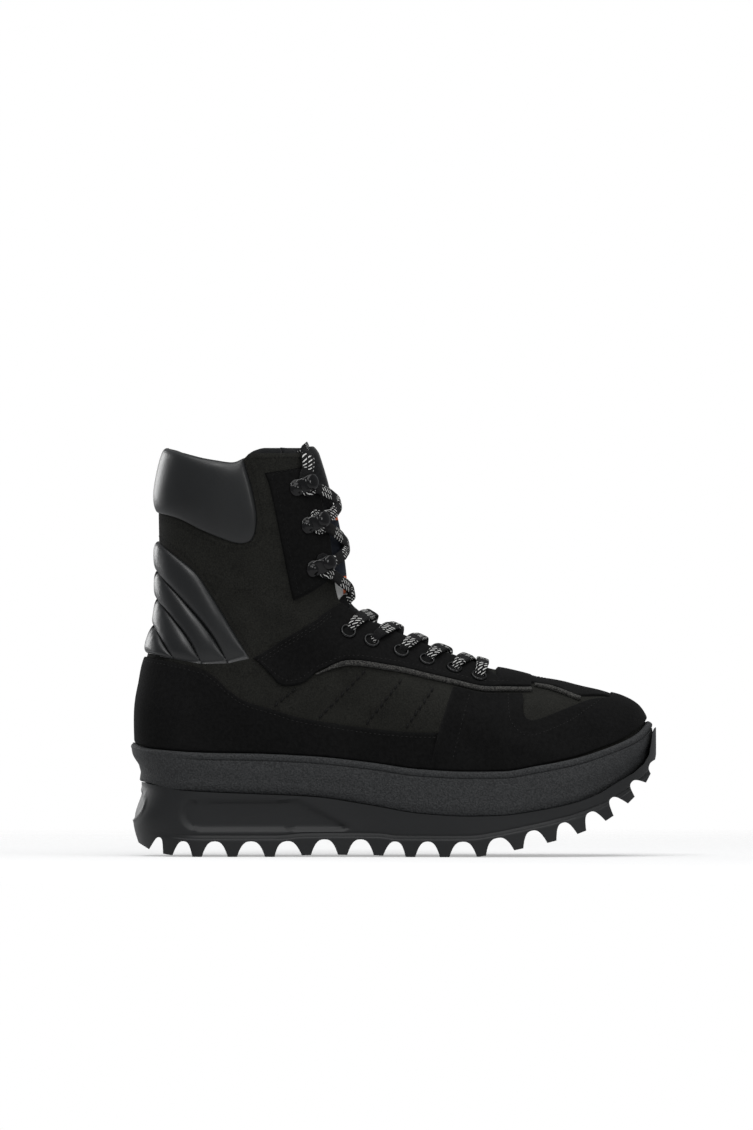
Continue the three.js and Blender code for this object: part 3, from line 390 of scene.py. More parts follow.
def thicken(bm, place):
    """Closes a sheet with a back of its own: place(cell) says where each back point lies."""
    cell = bm.verts.layers.int["cell"]
    made = bmesh.ops.extrude_face_region(bm, geom=bm.faces[:], use_keep_orig=True)
    for v in made["geom"]:
        if isinstance(v, bmesh.types.BMVert):
            v.co = place(v[cell])
    bmesh.ops.recalc_face_normals(bm, faces=bm.faces)
    return bm


def merged(bm, near=1e-3):
    """Joins doubled points and turns the faces outwards."""
    bmesh.ops.remove_doubles(bm, verts=bm.verts, dist=near)
    bmesh.ops.recalc_face_normals(bm, faces=bm.faces)
    return bm


def closed(bm, near=1e-3):
    """Joins doubled points, closes open ends and turns the faces outwards."""
    bmesh.ops.remove_doubles(bm, verts=bm.verts, dist=near)
    bmesh.ops.holes_fill(bm, edges=bm.edges, sides=0)
    bmesh.ops.recalc_face_normals(bm, faces=bm.faces)
    return bm


def piece(name, bm, stuff, nodes=(), sharp=None):
    """Turns millimetres of the source into metres of the frame and hands the piece over."""
    for v in bm.verts:
        v.co = (v.co - middle) / 1000
    for face in bm.faces:
        face.smooth = True
    if sharp is not None:
        for edge in bm.edges:
            if len(edge.link_faces) == 2 and edge.calc_face_angle(0) > math.radians(sharp):
                edge.smooth = False
    mesh = bpy.data.meshes.new(name)
    bm.to_mesh(mesh)
    bm.free()
    mesh.materials.append(stuff)
    made = bpy.data.objects.new(name, mesh)
    bpy.context.collection.objects.link(made)
    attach(made, "root")
    if nodes:
        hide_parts(*nodes)
    return made


def layer(cell_at, wide, tall, rise, foot=0.05, roll=0.9):
    """A closed layer on the cloth. cell_at(i, j) gives its place on the last, rise its thickness there."""
    spots = [[skin(*cell_at(i, j)) for i in range(wide + 1)] for j in range(tall + 1)]
    gone_up = [[0.0] * (wide + 1) for _ in range(tall + 1)]
    gone_on = [[0.0] * (wide + 1) for _ in range(tall + 1)]
    for j in range(tall + 1):
        for i in range(wide + 1):
            if j:
                gone_up[j][i] = gone_up[j - 1][i] + (spots[j][i][0] - spots[j - 1][i][0]).length
            if i:
                gone_on[j][i] = gone_on[j][i - 1] + (spots[j][i][0] - spots[j][i - 1][0]).length

    def top(i, j):
        up, on = gone_up[j][i], gone_on[j][i]
        near = min(up, gone_up[tall][i] - up, on, gone_on[j][wide] - on)
        rounded = math.sqrt(max(0, 1 - (1 - clamp(near / roll)) ** 2))
        point, normal = spots[j][i]
        return point + normal * (foot + (rise(i / wide, j / tall) - foot) * rounded)

    def back(k):
        point, normal = spots[k // (wide + 1)][k % (wide + 1)]
        return point + normal * foot

    return thicken(grid_of(wide, tall, top), back)


def eased(k, count):
    """Places closer together near both ends."""
    return 0.5 - 0.5 * math.cos(math.pi * k / count)


def between(low, high, tall):
    """Cells between two lines on the last, with the same number of places each."""
    return lambda i, j: low[i].lerp(high[i], eased(j, tall))


def both_sides(line):
    """A line on the inner side carried round the heel to the outer side."""
    other = [Vector((-p.x, p.y)) for p in reversed(line)]
    return other + (line[1:] if abs(line[0].x) < 1e-6 else line)


def over_toe(line):
    """A line on the inner side carried round the toe to the outer side."""
    other = [Vector((2 - p.x, p.y)) for p in reversed(line)]
    return line + (other[1:] if abs(line[-1].x - 1) < 1e-6 else other)


def tube(path, acrosses, section, steps_round=12):
    """A closed sweep along points, with the section's own width and thickness at each."""
    def ring_point(i, j):
        here, across = path[j], acrosses[j]
        ahead = (path[min(j + 1, len(path) - 1)] - path[max(j - 1, 0)]).normalized()
        up = across.cross(ahead).normalized()
        side = ahead.cross(up)
        wide, thick = section(j / (len(path) - 1))
        turn = 2 * math.pi * i / steps_round
        c, s = math.cos(turn), math.sin(turn)
        flat = 0.62
        return (here + side * (math.copysign(abs(c) ** flat, c) * wide / 2)
                + up * (math.copysign(abs(s) ** flat, s) * thick / 2))

    return closed(grid_of(steps_round, len(path) - 1, ring_point))


# Colours and finishes
def paint(r, g, b):
    return tuple(((c / 255 + 0.055) / 1.055) ** 2.4 if c > 10 else c / 255 / 12.92 for c in (r, g, b)) + (1,)


class Finish:
    """One finish of the shoe, mixed from noises on the piece's own coordinates."""

    def __init__(self, name, rough, metal=0.0, sheen=0.0, coat=0.0, specular=0.5):
        self.material = bpy.data.materials.new(name)
        self.material.use_nodes = True
        self.tree = self.material.node_tree
        self.shader = self.tree.nodes["Principled BSDF"]
        self.spot = self.tree.nodes.new("ShaderNodeTexCoord")
        for socket, value in (("Roughness", rough), ("Metallic", metal), ("Sheen Weight", sheen),
                              ("Coat Weight", coat), ("Specular IOR Level", specular)):
            self.shader.inputs[socket].default_value = value
        self.shader.inputs["Sheen Roughness"].default_value = 0.45
        self.shader.inputs["Coat Roughness"].default_value = 0.25

    def join(self, out, socket):
        self.tree.links.new(out, socket)

    def feed(self, socket, value):
        if hasattr(value, "links"):
            self.join(value, socket)
        else:
            socket.default_value = value

    def noise(self, scale, detail=4.0, stretch=None):
        node = self.tree.nodes.new("ShaderNodeTexNoise")
        node.inputs["Scale"].default_value = scale
        node.inputs["Detail"].default_value = detail
        self.join(self.where(stretch), node.inputs["Vector"])
        return node.outputs["Fac"]

    def cells(self, scale):
        node = self.tree.nodes.new("ShaderNodeTexVoronoi")
        node.feature = "DISTANCE_TO_EDGE"
        node.inputs["Scale"].default_value = scale
        self.join(self.spot.outputs["Object"], node.inputs["Vector"])
        return node.outputs["Distance"]

    def where(self, stretch=None):
        if stretch is None:
            return self.spot.outputs["Object"]
        node = self.tree.nodes.new("ShaderNodeMapping")
        node.inputs["Scale"].default_value = stretch
        self.join(self.spot.outputs["Object"], node.inputs["Vector"])
        return node.outputs["Vector"]

    def axes(self, cover="Object"):
        node = self.tree.nodes.new("ShaderNodeSeparateXYZ")
        self.join(self.spot.outputs[cover], node.inputs[0])
        return node.outputs

    def sum(self, kind, a, b=0.0, c=0.0):
        node = self.tree.nodes.new("ShaderNodeMath")
        node.operation = kind
        for socket, value in zip(node.inputs, (a, b, c)):
            self.feed(socket, value)
        return node.outputs[0]

    def span(self, value, low, high, to_low=0.0, to_high=1.0):
        node = self.tree.nodes.new("ShaderNodeMapRange")
        self.join(value, node.inputs["Value"])
        for socket, number in zip(("From Min", "From Max", "To Min", "To Max"), (low, high, to_low, to_high)):
            node.inputs[socket].default_value = number
        return node.outputs["Result"]

    def blend(self, f, a, b):
        node = self.tree.nodes.new("ShaderNodeMix")
        node.data_type = "RGBA"
        for number, value in ((0, f), (6, a), (7, b)):
            self.feed(node.inputs[number], value)
        return node.outputs[2]

    def colour(self, out):
        self.feed(self.shader.inputs["Base Color"], out)

    def relief(self, height, depth, strength=1.0, after=None):
        node = self.tree.nodes.new("ShaderNodeBump")
        node.inputs["Distance"].default_value = depth
        node.inputs["Strength"].default_value = strength
        self.join(height, node.inputs["Height"])
        if after is not None:
            self.join(after, node.inputs["Normal"])
        self.join(node.outputs["Normal"], self.shader.inputs["Normal"])
        return node.outputs["Normal"]


def suede_finish():
    f = Finish("black_suede", 0.97, sheen=0.015, specular=0.1)
    nap = f.noise(520, 6)
    patches = f.noise(38, 3)
    f.colour(f.blend(f.span(f.sum("MULTIPLY_ADD", nap, 0.6, f.sum("MULTIPLY", patches, 0.4)), 0.36, 0.64),
                     paint(9, 9, 9), paint(18, 18, 18)))
    f.relief(f.noise(1100, 4), 0.0004, 0.5)
    return f.material


def cloth_finish():
    f = Finish("charcoal_cloth", 0.95, sheen=0.02, specular=0.12)
    fleck = f.noise(1250, 4)
    cloud = f.noise(70, 3)
    f.colour(f.blend(f.span(f.sum("MULTIPLY_ADD", fleck, 0.75, f.sum("MULTIPLY", cloud, 0.25)), 0.36, 0.66),
                     paint(21, 21, 19), paint(38, 38, 35)))
    place = f.axes("UV")
    threads = 2 * math.pi / 0.07
    warp = f.sum("SINE", f.sum("MULTIPLY", place[0], threads))
    weft = f.sum("SINE", f.sum("MULTIPLY", place[1], threads))
    weave = f.sum("MULTIPLY", warp, weft)
    first = f.relief(weave, 0.00016, 0.5)
    f.relief(fleck, 0.0003, 0.5, first)
    return f.material


def leather_finish():
    f = Finish("pad_leather", 0.4, coat=0.06, specular=0.45)
    f.colour(f.blend(f.noise(60, 3), paint(11, 12, 13), paint(19, 21, 22)))
    first = f.relief(f.cells(1500), 0.00012, 0.35)
    soft = f.noise(26, 2, (1, 1, 0.7))
    second = f.relief(soft, 0.0026, 0.4, first)
    f.relief(f.noise(420, 3), 0.0002, 0.3, second)
    return f.material


def rand_finish():
    f = Finish("pebbled_rand", 0.68, specular=0.3)
    pebble = f.noise(1050, 3)
    f.colour(f.blend(f.span(pebble, 0.35, 0.7), paint(29, 30, 31), paint(56, 57, 58)))
    first = f.relief(pebble, 0.0009, 0.9)
    f.relief(f.noise(110, 2), 0.0006, 0.25, first)
    return f.material


def outsole_finish():
    f = Finish("outsole_rubber", 0.5, specular=0.32)
    f.colour(f.blend(f.noise(26, 3), paint(21, 22, 23), paint(28, 29, 30)))
    f.relief(f.noise(900, 3), 0.00018, 0.35)
    return f.material


def metal_finish():
    f = Finish("black_nickel", 0.14, specular=0.3)
    f.colour(f.blend(f.noise(120, 2), paint(7, 7, 8), paint(14, 14, 15)))
    f.relief(f.noise(500, 2), 0.00008, 0.2)
    return f.material


def piping_finish():
    f = Finish("felt_piping", 0.95, sheen=0.05, specular=0.15)
    fuzz = f.noise(1500, 4)
    f.colour(f.blend(f.span(fuzz, 0.4, 0.72), paint(26, 26, 26), paint(86, 85, 82)))
    f.relief(fuzz, 0.0006, 0.8)
    return f.material


def lace_finish():
    f = Finish("flecked_lace", 0.88, sheen=0.03, specular=0.15)
    place = f.axes("UV")
    slope = f.sum("MULTIPLY", place[0], 1.1)
    along = f.sum("ADD", place[1], slope)
    stroke = f.sum("LESS_THAN", f.sum("FRACT", f.sum("MULTIPLY", along, 1 / 0.26)), 0.3)
    stretch = f.sum("LESS_THAN", f.sum("FRACT", f.sum("MULTIPLY", place[1], 1 / 1.7)), 0.55)
    row = f.sum("FRACT", f.sum("MULTIPLY", place[0], 1 / 0.3))
    inside = f.sum("MULTIPLY", f.sum("GREATER_THAN", row, 0.14), f.sum("LESS_THAN", row, 0.86))
    fleck = f.sum("MULTIPLY", f.sum("MULTIPLY", stroke, stretch), inside)
    f.colour(f.blend(fleck, f.blend(f.noise(700, 3), paint(9, 9, 10), paint(26, 26, 27)), paint(225, 225, 222)))
    braid = f.sum("SINE", f.sum("MULTIPLY", along, 2 * math.pi / 0.1))
    counter = f.sum("SINE", f.sum("MULTIPLY", f.sum("SUBTRACT", place[1], slope), 2 * math.pi / 0.1))
    f.relief(f.sum("MULTIPLY", braid, counter), 0.0003, 0.7)
    return f.material


def tongue_finish():
    f = Finish("tongue_cloth", 0.92, sheen=0.12, specular=0.2)
    f.colour(f.blend(f.span(f.noise(700, 4), 0.35, 0.65), paint(13, 14, 15), paint(28, 29, 30)))
    f.relief(f.noise(900, 4), 0.0004, 0.5)
    return f.material


def label_finish():
    """A woven label of plain bands: slate, orange and white."""
    f = Finish("label_bands", 0.8, specular=0.25)
    x, y, z = f.axes()[:3]
    low = f.sum("MULTIPLY", f.sum("GREATER_THAN", z, 0.1435), f.sum("LESS_THAN", z, 0.1625))
    thin = f.sum("MULTIPLY", f.sum("GREATER_THAN", z, 0.195), f.sum("LESS_THAN", z, 0.201))
    edge = f.sum("GREATER_THAN", f.sum("ABSOLUTE", y), 0.0078)
    slate = f.blend(f.noise(700, 3), paint(24, 28, 36), paint(44, 49, 58))
    orange = f.blend(f.noise(700, 3), paint(205, 88, 48), paint(236, 124, 80))
    white = f.blend(f.noise(700, 3), paint(206, 206, 204), paint(238, 238, 236))
    band = f.blend(edge, orange, white)
    f.colour(f.blend(f.sum("MAXIMUM", low, thin), slate, band))
    threads = f.sum("SINE", f.sum("MULTIPLY", z, 2 * math.pi / 0.0005))
    f.relief(threads, 0.0002, 0.5)
    return f.material


def lining_finish():
    f = Finish("knit_lining", 0.93, sheen=0.1, specular=0.2)
    f.colour(f.blend(f.noise(420, 4), paint(16, 17, 18), paint(32, 33, 34)))
    f.relief(f.cells(900), 0.0004, 0.5)
    return f.material


def thread_finish(name, dark, light):
    f = Finish(name, 0.7, specular=0.2)
    f.colour(f.blend(f.noise(300, 2), dark, light))
    return f.material


black_suede, charcoal_cloth, pad_leather = suede_finish(), cloth_finish(), leather_finish()
pebbled_rand, outsole_rubber, black_nickel = rand_finish(), outsole_finish(), metal_finish()
felt_piping, flecked_lace, tongue_cloth = piping_finish(), lace_finish(), tongue_finish()
label_bands, knit_lining = label_finish(), lining_finish()
grey_thread = thread_finish("grey_thread", paint(18, 18, 18), paint(40, 40, 39))
black_thread = thread_finish("black_thread", paint(5, 5, 5), paint(12, 12, 12))

# Edges in the side view, in percent of length and of the shaft's rise
throat = [(6.75, 0.5), (6.85, 5.5), (7.05, 8), (7.5, 9.5), (8.5, 10), (10, 12), (11, 15), (12, 17),
          (13.5, 17.5), (15, 19), (16, 22), (17.2, 26)]
throat_half = columns_of(throat)[0]
collar_edge = columns_of([(3, 101), (7, 100), (9.1, 98.7), (14.5, 96.5), (18.7, 95.6), (20.9, 97.2),
                          (21.8, 98.4), (22.9, 98.9), (27, 98.9), (32, 98.9), (38, 100)])[0]
counter_top = [(2.8, 34.9), (7.3, 33.7), (12.7, 31.6), (15.1, 29.2), (18, 25), (21.2, 21.6), (26.5, 19),
               (30.5, 16.9), (35, 15.5), (44.6, 13.2), (52.8, 12), (58.5, 11.8)]
piping_line = [(34.8, 29.9), (38.5, 32.4), (40.8, 33.3), (43.8, 33.1), (46.9, 32.3), (51.4, 31), (56.4, 29.1),
               (61.3, 27.2), (65.3, 25.7), (68.2, 25), (72.3, 25), (76.4, 25)]
strip_line = [(77, 26.4), (80.9, 24.7), (85.8, 21.9)]
window_rear = [(74.8, 23.6), (74.8, 20.5), (74.8, 17.6)]
window_low = [(74.8, 17.6), (75.6, 15.9), (77.4, 15.7), (82, 18.4), (87, 21.4), (90.6, 22.2)]
wing_upper = [(22.5, 34.8), (26, 38.1), (29.3, 41.6), (35, 47), (36.4, 49), (37.9, 50.6), (40.6, 51.2)]
wing_lower = [(23.6, 34.2), (26.6, 28.8), (27.6, 27), (29.3, 26.3), (32.3, 27.2), (34.8, 30.6)]
hook_rear = [(30.4, 52.8), (29.4, 60.7), (27.8, 73.7), (26, 87.7), (24.9, 92.7)]
collar_lines = [
    [(5, 80.3), (8.7, 78.4), (12.7, 74.9), (16.6, 72.2), (19.3, 70.8), (21, 70.8), (22.3, 71.6)],
    [(6.6, 100.1), (9.1, 98.9), (12.5, 97.4), (15.5, 96.5), (18.7, 95.9), (20.8, 97.2)],
]
rib_lines = [
    [(2.9, 36), (4, 35.8), (5.2, 35.2)],
    [(3.9, 45.4), (4.6, 44.4), (5.9, 39.8), (7.6, 34.6)],
    [(4.9, 54), (5.6, 52.6), (7.6, 47.6), (10.4, 40.9), (12.8, 33.2)],
    [(4.95, 62.6), (5.6, 61.2), (6.9, 58.2), (11, 50), (14.5, 42.6), (17.9, 33.4)],
    [(4.9, 71.4), (6, 69.8), (8.7, 66), (11.8, 61.5), (14.5, 55), (18, 45.9), (22, 34.9)],
]
eyelet_spots = [(66.2, 28.9), (61.4, 31.2), (56.1, 33.8), (51.1, 36.5), (45.4, 39.8), (40.9, 42.8)]
eyelet_ridges = [7.1, 7.6, 8.2, 8.8, 9.5, 10.3]
hook_spots = [((34.1, 62.8), (36.2, 64.6)), ((33, 76.3), (35, 77.9)), ((30.8, 88), (32.8, 89.5))]
hook_ridges = [12, 13.4, 14.7]
signs = {"lateral": -1, "medial": 1}


def lowered(points, drop):
    return [(at, up - drop) for at, up in points]


def throat_u(level, grow=0.0):
    return 1.0 if level <= throat[0][0] else front_u(level, throat_half(level) + grow)


inner_rise = 1.5


def collar_level(u):
    low, high = 14.0, 17.2
    for _ in range(16):
        level = (low + high) / 2
        point = last_point(u, level)
        at = point.x / length * 100
        taller = inner_rise * ease(at, 21, 25) * (1 - ease(at, 32, 36)) if u > 0 else 0
        if point.z < place_z(collar_edge(at) + taller):
            low = level
        else:
            high = level
    return (low + high) / 2


# Cloth upper and its lining
upper_levels = [6.6 * k / 30 for k in range(31)] + [6.7, 6.76, 6.8, 6.85, 6.95, 7.05, 7.2, 7.4]
upper_levels += [7.4 + 8.6 * k / 44 for k in range(1, 45)]
upper_wide = 220
upper_cells = []
for nominal in upper_levels:
    row = []
    for i in range(upper_wide + 1):
        u = (2 * i / upper_wide - 1) * throat_u(nominal)
        row.append(Vector((u, nominal + (collar_level(u) - 16) * ease(nominal, 12.5, 16))))
    upper_cells.append(row)
upper_skin = [[skin(*cell) for cell in row] for row in upper_cells]


def upper_at(i, j, off):
    point, normal = upper_skin[j][i]
    return point + normal * off


upper_tall = len(upper_levels) - 1
cloth = grid_of(upper_wide, upper_tall, lambda i, j: upper_at(i, j, 0), round_way=True)
thicken(cloth, lambda k: upper_at(k % (upper_wide + 1), k // (upper_wide + 1), -1.4))
piece("upper_cloth", cloth, charcoal_cloth, ["upper"])


def lining_depth(i, j):
    """The lining is padded at the collar and thins out towards the sole."""
    level = upper_cells[j][i].y
    padding = 3.2 * ease(level, 10, 14) * (1 - 0.75 * ease(level, 15.2, 16.3))
    front = 1 - ease(abs(upper_cells[j][i].x), 0.62, 0.85)
    return -wall - 0.2 - padding * front


lining = grid_of(upper_wide, upper_tall, lambda i, j: upper_at(i, j, -1.5), round_way=True)
thicken(lining, lambda k: upper_at(k % (upper_wide + 1), k // (upper_wide + 1),
                                   lining_depth(k % (upper_wide + 1), k // (upper_wide + 1))))
piece("lining", lining, knit_lining)

# Suede layers


def straight(low, high, tall, part):
    """Cells between two lines: straight in the side view where part(i) is 1, along the rings where it is 0."""
    ends = [[last_point(p.x, p.y) for p in line] for line in (low, high)]

    def cell(i, j):
        f = eased(j, tall)
        spot, place = low[i].lerp(high[i], f), ends[0][i].lerp(ends[1][i], f)
        if part(i) == 0:
            return spot
        u, level = under(place.x / length * 100, (place.z - heel_seat) / shaft_rise * 100)
        u = -u if low[i].x < 0 else 2 - u if low[i].x > 1 else u
        return spot.lerp(Vector((u, level)), part(i))

    return cell


counter_edge = both_sides(even(trace(counter_top), 90))
counter_foot = both_sides(even([rand_spot(at) for at in (0.9, 3, 7, 12, 18, 25, 33, 41, 49, 57.6)], 90))
counter = layer(straight(counter_foot, counter_edge, 18, lambda i: ease(abs(i - 90), 30, 60)), 180, 18,
                lambda s, t: suede + 0.1)
piece("counter_suede", counter, black_suede, ["heel_counter"])

guard_high = over_toe(chain((trace(lowered(piping_line[7:11], 1.1) + [(74.7, 24)]), 24), (trace(window_rear), 10),
                            (trace(window_low), 30), ([under(90.6, 22.2), (0.93, 4.15), (1, 4.32)], 10)))
guard_low = over_toe(chain(([rand_spot(at) for at in (56.1, 61, 65.5, 69.5)], 24),
                           ([rand_spot(at) for at in (69.5, 71, 72.5)], 10),
                           ([rand_spot(at) for at in (72.5, 78, 84, 90, 94)], 30),
                           ([rand_spot(94), rand_spot(97), (1, rand_spot(98.4).y)], 10)))
guard = layer(straight(guard_low, guard_high, 26, lambda i: 1 - ease(min(i, 148 - i), 46, 62)), 148, 26,
              lambda s, t: suede + 0.25)
piece("toe_suede", guard, black_suede, ["toe_guard"])


def throat_line(low, high, count, grow):
    levels = [mix(low, high, k / count) for k in range(count + 1)]
    return [Vector((throat_u(level, grow), level)) for level in levels]


def crossing_cell(at, foot_up, q):
    """A place on the line across the front at one distance along the shoe."""
    ridge = level_of_front(at)
    ridge_up = last_columns[3](ridge)
    side = 1 - 2 * q
    if abs(side) < 1e-6:
        return Vector((1, ridge))
    u, level = under(at, mix(ridge_up, foot_up, side * side))
    return Vector((u if side > 0 else 2 - u, level))


for side, sign in signs.items():
    def on_side(line):
        return [Vector((sign * p.x, p.y)) for p in line]

    stay_low = chain((trace(wing_lower), 24), (trace(lowered(piping_line[:6], -0.75)), 26),
                     (trace(lowered(piping_line[5:10] + [(70.6, 25)], -0.75)), 30))
    corner = throat_line(10.75, 10.75, 1, 0.8)[0]
    stay_high = chain((trace(wing_upper[:4]), 24), (trace(wing_upper[3:6]) + [corner], 26))
    stay_high += throat_line(10.75, 7.08, 30, 0.8)[1:]
    stay = layer(between(on_side(stay_low), on_side(stay_high), 20), 80, 20, lambda s, t: suede + 0.35)
    piece(f"eyestay_suede_{side}", stay, black_suede, [f"eyestay_{side}"])

    panel_back = on_side(even(trace(hook_rear), 44))
    panel_front = on_side(throat_line(11.75, 15.42, 44, 0.8))
    panel = layer(between(panel_back, panel_front, 14), 44, 14, lambda s, t: suede + 0.3)
    piece(f"hook_suede_{side}", panel, black_suede, [f"hook_panel_{side}"])

    for name, line, start in (("piping", piping_line, 0.3), ("toe_piping", strip_line, 0.8)):
        spots = on_side(even(trace(line), 60))
        path = [over(*spot, 1.15) for spot in spots]
        acrosses = []
        for k, spot in enumerate(spots):
            ahead = path[min(k + 1, 60)] - path[max(k - 1, 0)]
            acrosses.append(ahead.cross(skin(*spot)[1]).normalized())
        full = [mix(start, 1, ease(k / 60, 0, 0.3)) for k in range(61)]
        made = tube(path, acrosses, lambda f: (full[round(f * 60)] * 3.1, full[round(f * 60)] * 2.4))
        piece(f"{name}_cord_{side}", made, felt_piping, [f"{name}_{side}"])

tab_at = lambda i: mix(69.6, 76.5, eased(i, 14))
tab = layer(lambda i, j: crossing_cell(tab_at(i), 25.95, eased(j, 36)), 14, 36,
            lambda s, t: 0.4 + (suede - 0.05) * ease(s, 0, 0.16))
piece("throat_suede", tab, black_suede, ["throat_tab"])
strip_edge = columns_of([(75.4, 27.6), (80.9, 25.6), (85.8, 22.9), (90, 23), (92.2, 22.4)])[0]
strip_at = lambda i: mix(75.6, 91.9, eased(i, 34))
strip = layer(lambda i, j: crossing_cell(strip_at(i), strip_edge(strip_at(i)), eased(j, 30)), 34, 30,
              lambda s, t: 1.5 - 0.7 * ease(s, 0.7, 1))
piece("toe_strip_suede", strip, black_suede, ["toe_strip"])

# Padded leather
pad_low, pad_high = [both_sides(even(trace(line), 60)) for line in collar_lines]


def pad_cell(i, j):
    q, s = eased(j, 30), i / 60 - 1
    bulge = 0.036 * ease(abs(s), 0.7, 1) * math.copysign(1, s) * math.sin(math.pi * q ** 0.7)
    spot = pad_low[i].lerp(pad_high[i], q)
    return Vector((spot.x + bulge, spot.y))


def pad_rise(s, t):
    roll = (1 - abs(2 * t - 1) ** (2.8 if t < 0.5 else 9)) ** 0.5
    end = (1 - abs(2 * s - 1) ** 22) ** 0.5
    crown = 0.85 + 0.15 * math.sin(math.pi * t)
    return 0.4 + 3.7 * roll * end * crown


pad = layer(pad_cell, 120, 30, lambda s, t: pad_rise(s, eased(t * 30, 30)), roll=0.4)
piece("collar_leather", pad, pad_leather, ["collar_pad"])

rib_spots = [both_sides(even(trace(line), 40)) for line in rib_lines]
rib_steps = 14
rib_tall = rib_steps * (len(rib_lines) - 1)


def rib_place(j):
    """Which rib a row lies on, and how far across it, closer together at the seams."""
    k = min(j // rib_steps, len(rib_lines) - 2)
    return k, eased(j - k * rib_steps, rib_steps)


def rib_cell(i, j):
    k, f = rib_place(j)
    return rib_spots[k][i].lerp(rib_spots[k + 1][i], f)


def rib_rise(s, t):
    k, f = rib_place(round(t * rib_tall))
    full = (1 - abs(2 * f - 1) ** 2.4) ** 0.5
    ends = 1 - abs(2 * s - 1) ** 16
    pucker = 0.13 * math.sin(2 * math.pi * 13 * s + 2 * k) * abs(2 * f - 1) ** 2 * full
    return 0.25 + (3.5 * full + pucker) * ends


ribs = layer(rib_cell, 80, rib_tall, rib_rise, roll=0.4)
piece("rib_leather", ribs, pad_leather, ["heel_ribs"])

# Tongue with its label
tongue_rows = [(6.4, 17, -3, 2), (7, 19, -3, 2.5), (7.6, 20, -1.8, 3.5), (8.5, 22, -0.4, 5), (10, 25, 0, 6),
               (11, 27, 0, 6), (12, 28, 0.4, 6), (14, 28, 0.8, 6), (16.1, 29, 0, 5)]
tongue_half, tongue_lift, tongue_thick = columns_of(tongue_rows)
hidden_depth = -6.8


def tongue_face(level, y):
    open_half = throat_half(max(level, throat[0][0]))
    crown = 1 - ease(abs(y), 0.3 * open_half, open_half - 1)
    return mix(hidden_depth, tongue_lift(level), crown)


tongue_wide, tongue_tall = 36, 64
tongue_levels = [mix(6.4, 16.15, eased(j, tongue_tall)) for j in range(tongue_tall + 1)]


def tongue_at(i, j, behind):
    level = tongue_levels[j]
    v = 2 * i / tongue_wide - 1
    y = v * tongue_half(level)
    u = math.copysign(front_u(level, abs(y)), y) if abs(y) > 1e-6 else 1
    top = math.sqrt(clamp((tongue_levels[-1] - level) / 0.3))
    body = mix(1.8, tongue_thick(level), 1 - abs(v) ** 3)
    off = tongue_face(level, y) - body * (0.5 + (0.5 * top if behind else -0.5 * top))
    return over(u, level, off)


tongue = grid_of(tongue_wide, tongue_tall, lambda i, j: tongue_at(i, j, False))
thicken(tongue, lambda k: tongue_at(k % (tongue_wide + 1), k // (tongue_wide + 1), True))
piece("tongue_pad", tongue, tongue_cloth, ["tongue"])


def label_off(i, j, lift):
    level = mix(10.75, 13.9, j / 36)
    y = (i / 20 * 2 - 1) * min(13.2, throat_half(level) - 1)
    u = math.copysign(front_u(level, abs(y)), y) if abs(y) > 1e-6 else 1
    return over(u, level, tongue_face(level, y) + lift)


label = grid_of(20, 36, lambda i, j: label_off(i, j, 0.8))
thicken(label, lambda k: label_off(k % 21, k // 21, 0.05))
piece("tongue_label", label, label_bands)

# Rubber: the rand, a band with a fine line below its lip
rand_wide = 288
lip_drop = 3.8


def rand_section(i):
    u = wrap(2 * i / rand_wide)
    foot = last_point(u, 0)
    x = foot.x
    low, high = 0.2, 5.0
    for _ in range(14):
        level = (low + high) / 2
        if over(u, level, gap + rand_wall).z < rand_top(x):
            low = level
        else:
            high = level
    out = gap + rand_wall
    s = math.sin(math.pi * abs(u) / 2) ** 2
    rear = 1 - ease(s, 0.01, 0.1)
    tuck, toe = 2.2 * rear, ease(s, 0.9, 0.99)
    out -= 1.5 * rear
    rounder = max(toe, 0.8 * rear)
    base = sole_top(x) + 0.1
    points = [off_feather(u, 0.3 - tuck * 0.5, base), off_feather(u, 2 - tuck * 0.9, base),
              off_feather(u, 2.8 - tuck, sole_top(x) + 0.7)]
    levels = [low * k / 24 for k in range(25)]
    drops = [over(u, low, out).z - over(u, level, out).z for level in levels]
    fall = drops[0]
    wanted = [lip_drop + (fall - lip_drop) * k / 9 for k in range(9, 0, -1)]
    wanted += [lip_drop + d for d in (0.75, 0.45, 0.22, 0, -0.22, -0.45, -0.9)] + [2, 1.2, 0.6, 0.25, 0]
    for drop in wanted:
        k = next((n for n in range(1, 25) if drops[n] <= drop), 24)
        level = mix(levels[k - 1], levels[k], clamp((drops[k - 1] - drop) / max(drops[k - 1] - drops[k], 1e-6)))
        groove = 0.75 * math.exp(-((drop - lip_drop) / 0.3) ** 2) * ease(s, 0.06, 0.14)
        swell = 0.45 * math.exp(-((drop - lip_drop * 0.45) / 1.3) ** 2)
        edge = mix(0.45, 1.5, rounder) * (1 - clamp(drop / mix(0.5, 2.4, rounder))) ** 2
        points.append(over(u, level, out - groove + swell - edge - tuck * ease(drop / fall, 0.35, 1)))
    points.append(over(u, low + 0.02, out - mix(1.1, 1.9, rounder)))
    points.append(over(u, low + 0.02, 1.5))
    points.append(over(u, low, 0.1))
    points.append(over(u, low * 0.5, 0.1))
    points.append(over(u, 0, 0.1))
    return points


rand_rings = [rand_section(i) for i in range(rand_wide)]
rand_tall = len(rand_rings[0])
rand = grid_of(rand_wide, rand_tall, lambda i, j: rand_rings[i % rand_wide][j % rand_tall], round_way=True)
bmesh.ops.recalc_face_normals(rand, faces=rand.faces)
piece("rand_band", rand, pebbled_rand, ["rand"])

